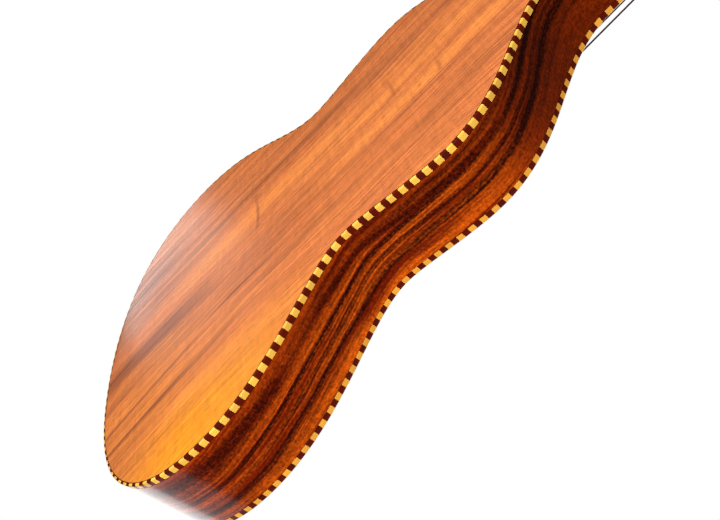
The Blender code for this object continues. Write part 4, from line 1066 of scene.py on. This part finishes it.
# Radii and heights of a post's tip, from its top
POST_TIP = ((POST_RADIUS, -0.0006), (0.00282, -0.00018), (0.0024, 0.0), (0.00096, 0.0), (0.00072, -0.0004))
POST_BORE = 0.0036
BUSHING_RADIUS = 0.0046
# Section of a bushing: radii and heights of its corners
BUSHING = (
    (POST_RADIUS + GAP, -0.006), (BUSHING_RADIUS, -0.006), (BUSHING_RADIUS, GAP), (0.0056, GAP),
    (0.0056, 0.0006), (0.0051, 0.0012), (POST_RADIUS + GAP, 0.0012),
)
GEAR_TEETH = 14
GEAR_MODULE = 0.0007
GEAR_THICKNESS = 0.0034
TOOTH_BACKLASH = 0.00035
TOOTH_FLANK_ANGLE = math.radians(20.0)
WORM_PITCH_RADIUS = 0.0024
WORM_TURNS = 2
WORM_STEPS = 24
SHAFT_RADIUS = 0.0012
PLATE_THICKNESS = 0.0012
PLATE_HALF = 0.0075
PLATE_OVERHANG = 0.019
LUG_THICKNESS = 0.0012
LUG_HALF = 0.0032
KNOB_REACH = 0.0195
KNOB_HALF_LENGTH = 0.0065
KNOB_HALF_WIDTH = 0.0080
KNOB_HALF_THICKNESS = 0.0032
KNOB_FULLNESS = 2.5
KNOB_FLATNESS = 0.7
# Radii and lengths of the collar between shaft and knob, from the knob's inner end
COLLAR = ((SHAFT_RADIUS, -0.00132), (0.001785, -0.0011), (0.0021, -0.00066), (0.0021, 0.00088))
SCREW_RADIUS = 0.0018
SCREW_HEIGHT = 0.0009
SCREW_RIM = 0.3
SCREW_SLOT_HALF = 0.00022
SCREW_FROM_POST = 0.0150

HEAD_X = BODY_END_X + GAP
HEAD_TILT = TOP_TILT + HEAD_ANGLE
HEAD_UNDER = -(VENEER_THICKNESS + GAP + HEAD_THICKNESS)
THREAD_PITCH = math.pi * GEAR_MODULE
TOOTH_ROOT = 1.25 * GEAR_MODULE
GEAR_PITCH_RADIUS = GEAR_TEETH * GEAR_MODULE / 2
WORM_DISTANCE = GEAR_PITCH_RADIUS + WORM_PITCH_RADIUS
WORM_HALF_LENGTH = THREAD_PITCH * (WORM_TURNS + 1) / 2
PLATE_UNDER = -GAP - PLATE_THICKNESS
WORM_Z = PLATE_UNDER - GAP - WORM_PITCH_RADIUS - GEAR_MODULE
LUG_INNER = WORM_HALF_LENGTH + 2 * GAP

# Frame of the head's tilted face, from the middle of its end at the nut
HEAD_FRAME = Matrix.Translation(place(HEAD_X, 0.0, top_z(BODY_END_X))) @ Matrix.Rotation(HEAD_TILT, 4, "Y")

# Place and side of each post: strings 0 to 2 go to the bass side, 5 to 3 to the treble side
POSTS = [(x, POST_ROW_HALF, 1) for x in POST_XS] + [(x, -POST_ROW_HALF, -1) for x in reversed(POST_XS)]


def head_piece(name, build, look, *replaced, within=HEAD_FRAME, **more):
    add_piece(name, build, look, *replaced, within=within, **more)


def head_path():
    """The head's edge from the treble side of the nut, round the crest, to the bass side."""
    half = []
    for share in evenly(16):
        rise = (1 - math.cos(math.pi * share)) / 2
        half.append((HEAD_SHOULDER_X * share, NECK_END_HALF + (HEAD_SHOULDER_HALF - NECK_END_HALF) * rise))
    for share in evenly(24):
        x = HEAD_LENGTH - HEAD_CREST * (1 - share ** HEAD_CREST_POWER)
        half.append((x, HEAD_TOP_HALF * (1 - share)))
    return [(x, -y) for x, y in half[:-1]] + half[::-1]


HEAD_PATH = head_path()


def head_ring(inset, z):
    """The head's edge drawn in and at a height, its end at the nut upright though the head is tilted."""
    lean = z * math.tan(HEAD_TILT)
    path = drawn_in_path(HEAD_PATH, inset)
    return [(x - lean * max(1 - abs(x) / HEAD_SHOULDER_X, 0.0), y, z) for x, y in path]


def build_headstock(bm):
    rings = [head_ring(inset, HEAD_UNDER + rise) for inset, rise in rounding(HEAD_EDGE_RADIUS)]
    rings.append(head_ring(0.0, -VENEER_THICKNESS - GAP))
    bored_slab(bm, rings, [((x, y), POST_BORE) for x, y, _ in POSTS])


def build_head_face(bm):
    rings = [head_ring(STRIP_WIDTH, z) for z in (-VENEER_THICKNESS, 0.0)]
    bored_slab(bm, rings, [((x, y), BUSHING_RADIUS + GAP) for x, y, _ in POSTS])


def screw_head(bm, centre, base):
    """A domed screw head with a slot, hanging down from its base."""
    rim = base - SCREW_RIM * SCREW_HEIGHT
    turned(bm, [(SCREW_RADIUS, base), (SCREW_RADIUS, rim)], 24, centre)
    for side in (1, -1):
        rings = []
        for lean in (0.0, 0.35, 0.70, 1.0):
            radius = SCREW_RADIUS * math.cos(lean)
            reach = math.acos(SCREW_SLOT_HALF / radius)
            z = rim - (1 - SCREW_RIM) * SCREW_HEIGHT * math.sin(lean)
            rings += level(arc(centre, side * radius, -reach, reach, 12), z)
        skin(bm, rings)


def rounded_rectangle(low, high, radius):
    """Outline of a rectangle with round corners, counterclockwise."""
    corners = (
        (high[0] - radius, high[1] - radius), (low[0] + radius, high[1] - radius),
        (low[0] + radius, low[1] + radius), (high[0] - radius, low[1] + radius),
    )
    points = []
    for quarter, centre in enumerate(corners):
        points += arc(centre, radius, math.pi / 2 * quarter, math.pi / 2 * (quarter + 1), 6)
    return points


def build_machine_plate(bm, y):
    """A plate with lugs that hold the shafts."""
    start, end = POST_XS[0] - PLATE_OVERHANG, POST_XS[-1] + PLATE_OVERHANG
    bevel = PLATE_THICKNESS / 4
    line, inner = [
        rounded_rectangle((start + e, y - PLATE_HALF + e), (end - e, y + PLATE_HALF - e), PLATE_HALF / 3 - e)
        for e in (0.0, bevel)
    ]
    under = HEAD_UNDER + PLATE_UNDER
    rings = level(inner, under) + level(line, under + bevel, HEAD_UNDER - GAP)
    bored_slab(bm, rings, [((x, y), POST_BORE) for x in POST_XS])

    # A lug stands across the shaft: its own height is the head's Y
    upright = Matrix(((1, 0, 0, 0), (0, 0, 1, 0), (0, 1, 0, HEAD_UNDER), (0, 0, 0, 1)))
    foot_z = PLATE_UNDER + PLATE_THICKNESS / 2
    for x in POST_XS:
        shaft = (x - WORM_DISTANCE, WORM_Z)
        lug = [(shaft[0] + LUG_HALF, foot_z), *arc(shaft, LUG_HALF, 0.0, -math.pi, 16)]
        lug.append((shaft[0] - LUG_HALF, foot_z))
        for foot in (y - LUG_INNER - LUG_THICKNESS, y + LUG_INNER):
            faces = level(lug, foot, foot + LUG_THICKNESS)
            moved(bm, upright, lambda part: bored_slab(part, faces, [(shaft, SHAFT_RADIUS + GAP)]))


def build_plate_screws(bm, y):
    for x in (POST_XS[0] - SCREW_FROM_POST, *[x + SCREW_FROM_POST for x in POST_XS]):
        screw_head(bm, (x, y), HEAD_UNDER + PLATE_UNDER)


def tooth_half(height):
    """Half thickness of a tooth or thread at this height over the pitch line."""
    return (THREAD_PITCH / 2 - TOOTH_BACKLASH) / 2 - height * math.tan(TOOTH_FLANK_ANGLE)


def build_gear(bm):
    """A gear with slanted teeth, one of them centred towards -X at mid height."""
    lead = THREAD_PITCH / (2 * math.pi * WORM_PITCH_RADIUS)
    flank = [(height, tooth_half(height)) for height in (-TOOTH_ROOT, 0.0, GEAR_MODULE)]
    tooth = [(height, -half) for height, half in flank] + flank[::-1]
    rings = []
    for z in evenly(4, -GEAR_THICKNESS / 2, GEAR_THICKNESS / 2):
        ring = []
        for middle in evenly(GEAR_TEETH, math.pi, 3 * math.pi)[:-1]:
            for height, across in tooth:
                radius = GEAR_PITCH_RADIUS + height
                angle = middle + lead * z / GEAR_PITCH_RADIUS + across / radius
                ring.append((radius * math.cos(angle), radius * math.sin(angle), WORM_Z + z))
        rings.append(ring)
    skin(bm, rings)


def build_post(bm):
    """A post with its gear and the gear's slotted screw; the head's underside is at height 0."""
    build_gear(bm)
    top = POST_ABOVE_FACE - HEAD_UNDER
    turned(bm, [(POST_RADIUS, WORM_Z), *[(radius, top + rise) for radius, rise in POST_TIP]], 32)
    screw_head(bm, (0.0, 0.0), WORM_Z - GEAR_THICKNESS / 2)


def build_shaft(bm):
    """Shaft, worm and collar on the knob's axis, with the worm's middle at the origin."""
    root = WORM_PITCH_RADIUS - TOOTH_ROOT
    base = KNOB_REACH - KNOB_HALF_LENGTH
    for sides, profile in (
        (24, [(SHAFT_RADIUS, -LUG_INNER - LUG_THICKNESS - 3 * GAP), (SHAFT_RADIUS, KNOB_REACH)]),
        (24, [(root, -WORM_HALF_LENGTH), (root, WORM_HALF_LENGTH)]),
        (28, [(radius, base + at) for radius, at in COLLAR]),
    ):
        moved(bm, Matrix.Rotation(-math.pi / 2, 4, "X"), lambda part: turned(part, profile, sides))
    flank = [(tooth_half(height), WORM_PITCH_RADIUS + height) for height in (-TOOTH_ROOT, GEAR_MODULE)]
    section = [(-half, radius) for half, radius in flank] + flank[::-1]
    rings = []
    for share in evenly(WORM_TURNS * WORM_STEPS, -WORM_TURNS / 2, WORM_TURNS / 2):
        angle = math.pi / 2 + 2 * math.pi * (share + 0.5)
        y = THREAD_PITCH * share
        rings.append([(r * math.sin(angle), y + offset, r * math.cos(angle)) for offset, r in section])
    skin(bm, rings)


def build_button(bm):
    """A flat oval button, fuller than an ellipsoid seen from above."""
    rings = []
    for lean in evenly(20, 0.0, math.pi)[1:-1]:
        y = KNOB_REACH - KNOB_HALF_LENGTH * math.cos(lean)
        wide = KNOB_HALF_WIDTH * math.sin(lean) ** (2 / KNOB_FULLNESS)
        thick = KNOB_HALF_THICKNESS * math.sin(lean) ** KNOB_FLATNESS
        rings.append([(wide * x, y, thick * z) for x, z, _ in circle((0.0, 0.0), 1.0, 40)])
    skin(bm, rings)


def build_machines():
    for word, y in (("bass", POST_ROW_HALF), ("treble", -POST_ROW_HALF)):
        head_piece(
            f"machine_plate_{word}", lambda bm: build_machine_plate(bm, y), "nickel", f"tuner_plate_{word}",
        )
        head_piece(f"machine_screws_{word}", lambda bm: build_plate_screws(bm, y), "nickel")
    for number, (x, y, side) in enumerate(POSTS, 1):
        head_piece(
            f"bushing_{number}", lambda bm: ring_solid(bm, BUSHING, 40, (x, y)), "nickel",
            f"post_bushing_{number}",
        )
        foot = HEAD_FRAME @ Matrix.Translation((x, y, HEAD_UNDER))
        head_piece(
            f"post_{number}", build_post, "nickel", f"tuner_post_{number}",
            body=f"tuner_post_{number}_body", within=foot,
        )
        axis = foot @ Matrix.Translation((-WORM_DISTANCE, 0.0, WORM_Z))
        if side < 0:
            axis = axis @ Matrix.Rotation(math.pi, 4, "X")
        on_knob = {"body": f"tuner_knob_{number}_body", "within": axis}
        head_piece(
            f"button_{number}", build_button, "cream", f"tuner_knob_{number}", sharp_from=60.0, **on_knob,
        )
        head_piece(f"shaft_{number}", build_shaft, "nickel", **on_knob)


def build_head():
    head_piece("headstock_wood", build_headstock, "mahogany", "headstock")
    head_piece("head_face", build_head_face, "koa head", "headstock_veneer")
    head_piece(
        "head_rope", lambda bm: rope_strip(bm, HEAD_PATH, -VENEER_THICKNESS, 0.0, 5), "rope",
    )
    build_machines()


# Strings

STRING_RADII = (0.00071, 0.00055, 0.00044, 0.00034, 0.00025, 0.00020)
STRING_UNDERSIDE = 0.0123
NUT_SPREAD = 0.044
WOUND_STRINGS = 4
SADDLE_THICKNESS = 0.003
SADDLE_CROWN_HALF = 0.0007
PIN_SLOT_REACH = PIN_HEAD_RADIUS + STRING_RADII[0] + GAP
BALL_RADIUS = 0.0019
BRIDGE_PLATE_THICKNESS = 0.003
WINDING_ABOVE_FACE = 0.0042
WINDING_TURNS = 2
WINDING_GAP = 0.00045
LOOP_POINTS = 48
# Length of wire per turn of the winding on a wound string, in string radii
WRAP_PITCH = 0.8


def winding_points(start, post, side, radius):
    """From a point over the head, on to the post's inner side and up round it, in turns."""
    reach = POST_RADIUS + GAP + radius
    away = Vector((post[0] - start.x, side * (post[1] - start.y)))
    bearing = math.atan2(away.y, away.x) - math.asin(reach / away.length)
    points = []
    for turn in evenly(WINDING_TURNS * LOOP_POINTS, 0.0, WINDING_TURNS):
        angle = bearing - math.pi / 2 + 2 * math.pi * turn
        height = WINDING_ABOVE_FACE + (2 * radius + WINDING_GAP) * turn
        spot = (post[0] + reach * math.cos(angle), post[1] + side * reach * math.sin(angle), height)
        points.append(HEAD_FRAME @ Vector(spot))
    return points


def string_path(number):
    """(point, radius) from the ball under the bridge, over saddle and nut, to the post."""
    radius = STRING_RADII[number]
    *post, side = POSTS[number]
    slot_x = SADDLE_AT - PIN_SETBACK + PIN_SLOT_REACH
    bridge_y, nut_y = string_y(number, BRIDGE_SPREAD), string_y(number, NUT_SPREAD)
    above = STRING_UNDERSIDE + radius
    ball = -TOP_THICKNESS - BRIDGE_PLATE_THICKNESS - 3 * GAP - BALL_RADIUS
    path = []
    for lean in evenly(12, -math.pi / 2, math.pi / 2)[1:-1]:
        path.append(((slot_x, bridge_y, ball + BALL_RADIUS * math.sin(lean)), BALL_RADIUS * math.cos(lean)))
    rise = BRIDGE_HEIGHT + radius
    for x, z in (
        (slot_x, ball + 1.2 * BALL_RADIUS), (slot_x, rise - 2 * radius), (slot_x + radius, rise + radius),
        (SADDLE_AT - SADDLE_THICKNESS, above - SADDLE_THICKNESS / 2), (SADDLE_AT - SADDLE_CROWN_HALF, above),
        (SADDLE_AT + SADDLE_CROWN_HALF, above), (BOARD_NUT, above), (BOARD_NUT + NUT_LENGTH + GAP, above),
    ):
        share = max(x - SADDLE_AT, 0.0) / (BOARD_NUT - SADDLE_AT)
        path.append(((x, bridge_y + (nut_y - bridge_y) * share, z), radius))
    points = [(TOP_FRAME @ Vector(point), size) for point, size in path]
    over_head = HEAD_FRAME.inverted() @ points[-1][0]
    return points + [(point, radius) for point in winding_points(over_head, post, side, radius)]


def tube(bm, path, sides):
    """A tube along (point, radius) stations, its rings kept from twisting. Gives its loops."""
    points = [point for point, _ in path]
    across = Vector((0.0, 1.0, 0.0))
    rings = []
    for k, (point, radius) in enumerate(path):
        ahead = (points[min(k + 1, len(points) - 1)] - points[max(k - 1, 0)]).normalized()
        across = (across - ahead * across.dot(ahead)).normalized()
        up = ahead.cross(across)
        rings.append([point + (across * x + up * y) * radius for x, y, _ in circle((0.0, 0.0), 1.0, sides)])
    return skin(bm, rings)[0]


def build_strings():
    for number, radius in enumerate(STRING_RADII, 1):
        path = string_path(number - 1)
        wound = number <= WOUND_STRINGS
        runs = [(b[0] - a[0]).length for a, b in zip(path, path[1:])]
        turns = np.concatenate(([0.0], np.cumsum(runs))) / (WRAP_PITCH * radius)

        def build(bm):
            store_along(bm, tube(bm, path, 14), turns if wound else 0.0 * turns)
        look = "bronze" if wound else "steel"
        add_piece(f"wire_{number}", build, look, f"string_{number}", sharp_from=50.0)


# Solids of the part that are shown as they are, in the scene's materials

DRESSED = {
    "mahogany": (
        "bass_back_lining", "bass_top_lining", "treble_back_lining", "treble_top_lining", "tail_block",
        "neck_block",
    ),
    "spruce": (
        "back_brace_1", "back_brace_2", "back_brace_3", "x_brace_bass", "x_brace_treble", "upper_brace",
    ),
    "rosewood": ("bridge_plate",),
    "cap": ("neck_end_cap",),
    "bone": ("nut", "saddle"),
}


def dress_solids():
    for look, names in DRESSED.items():
        for name in names:
            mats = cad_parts[name].data.materials
            mats.clear()
            mats.append(LOOKS[look][0][0])


# Stage: floor, light and camera

# Camera from the photograph: its place, its lens, and its turn from the guitar's axes, as a rotation
# vector, with the picture's down as +Y
CAMERA_PLACE = (0.018608, 0.663060, -0.269330)
CAMERA_TURN = (-0.89914, 0.66078, -0.5094)
LENS = 44.31
FLOOR_HALF = 6.0
FLOOR_Z = -0.0005
# Distances from the middle between which the floor fades to white
FLOOR_FADE = (0.7, 3.3)

# Softboxes: place, target, size, power, and whether they make a highlight on the wood
MIDDLE = (-0.1, 0.0, 0.02)
TAIL = (-0.45, 0.12, 0.04)
LIGHTS = {
    "under": ((-0.15, 0.05, -2.2), MIDDLE, (1.6, 1.6), 70.0, False),
    "beside": ((-0.15, 2.0, -0.55), MIDDLE, (1.2, 0.5), 44.0, False),
    "haze_box": ((-1.36, -1.86, -0.40), (-0.35, 0.0, 0.0), (0.55, 0.30), 1.15, True),
    "tail_box": ((-1.91, -0.57, 0.90), TAIL, (1.5, 0.50), 5.0, True),
    "tail_fade_box": ((-2.03, 0.66, 0.93), TAIL, (1.12, 0.50), 1.2, True),
    "overhead": ((0.2, -0.6, 1.8), MIDDLE, (1.6, 1.2), 30.0, True),
}


def add_to_scene(name, data):
    obj = bpy.data.objects.new(name, data)
    bpy.context.scene.collection.objects.link(obj)
    return obj


def build_camera():
    turn = Vector(CAMERA_TURN)
    to_camera = Matrix.Rotation(turn.length, 3, turn.normalized())
    lift = Matrix.Rotation(math.atan((RIM_LIFT_TAIL - RIM_LIFT_HEAD) / BODY_END_X), 3, "Y")
    right, down, ahead = (lift @ Vector(row) for row in to_camera)
    data = bpy.data.cameras.new("camera")
    data.lens = LENS
    data.clip_start, data.clip_end = 0.01, 20.0
    camera = add_to_scene("camera", data)
    axes = Matrix((right, -down, -ahead)).transposed()
    camera.matrix_world = Matrix.Translation(CAMERA_PLACE) @ axes.to_4x4()
    bpy.context.scene.camera = camera


def build_floor():
    """A pale floor that fades to white far off, and lets a camera under it look up at the guitar."""
    mat = bpy.data.materials.new("floor")
    mat.use_nodes = True
    g = Graph(mat.node_tree)
    g.tree.nodes.remove(g.tree.nodes["Principled BSDF"])
    pale = g.node("ShaderNodeBsdfDiffuse", {"Color": (0.80, 0.80, 0.79)})
    white = g.node("ShaderNodeEmission", {"Color": (1.0, 1.0, 1.0), "Strength": 1.0})
    far = g.node("ShaderNodeVectorMath", {0: g.here()}, "Value", operation="LENGTH")
    shown = g.mix_shaders(g.span(far, *FLOOR_FADE), pale, white)
    under = g.node("ShaderNodeNewGeometry", output="Backfacing")
    both = g.mix_shaders(under, shown, g.node("ShaderNodeBsdfTransparent"))
    g.feed(g.tree.nodes["Material Output"].inputs["Surface"], both)
    corners = trapezoid(-FLOOR_HALF, FLOOR_HALF, FLOOR_HALF, FLOOR_HALF)
    mesh = mesh_from("floor", lambda bm: bm.faces.new([bm.verts.new((x, y, 0.0)) for x, y in corners]))
    mesh.materials.append(mat)
    floor = add_to_scene("floor", mesh)
    floor.location = (0.0, 0.0, FLOOR_Z)
    floor.visible_shadow = False
    floor.visible_glossy = False
    floor.visible_diffuse = False


def build_lights():
    for name, (place_at, target, size, power, mirrored) in LIGHTS.items():
        data = bpy.data.lights.new(name, "AREA")
        data.shape = "RECTANGLE"
        data.size, data.size_y = size
        data.energy = power
        light = add_to_scene(name, data)
        light.location = place_at
        light.rotation_euler = (Vector(target) - Vector(place_at)).to_track_quat("-Z", "Y").to_euler()
        light.visible_camera = False
        light.visible_glossy = mirrored


def build_world():
    """White where the camera looks past the guitar, and for the rest dark below and pale overhead."""
    world = bpy.data.worlds.new("studio")
    world.use_nodes = True
    bpy.context.scene.world = world
    g = Graph(world.node_tree)
    g.tree.nodes.clear()
    up = g.split(g.node("ShaderNodeTexCoord", output="Generated"))[2]
    light, seen = [
        g.node("ShaderNodeBackground", {"Color": (1.0, 1.0, 1.0), "Strength": strength})
        for strength in (g.span(up, 0.55, 0.90, 0.02, 0.60), 1.0)
    ]
    both = g.mix_shaders(g.node("ShaderNodeLightPath", output="Is Camera Ray"), light, seen)
    g.feed(g.tree.nodes.new("ShaderNodeOutputWorld").inputs["Surface"], both)


# The whole guitar

build_box()
build_face()
build_head()
build_strings()
dress_solids()
bpy.context.scene.view_settings.view_transform = "Standard"
build_camera()
build_floor()
build_world()
build_lights()
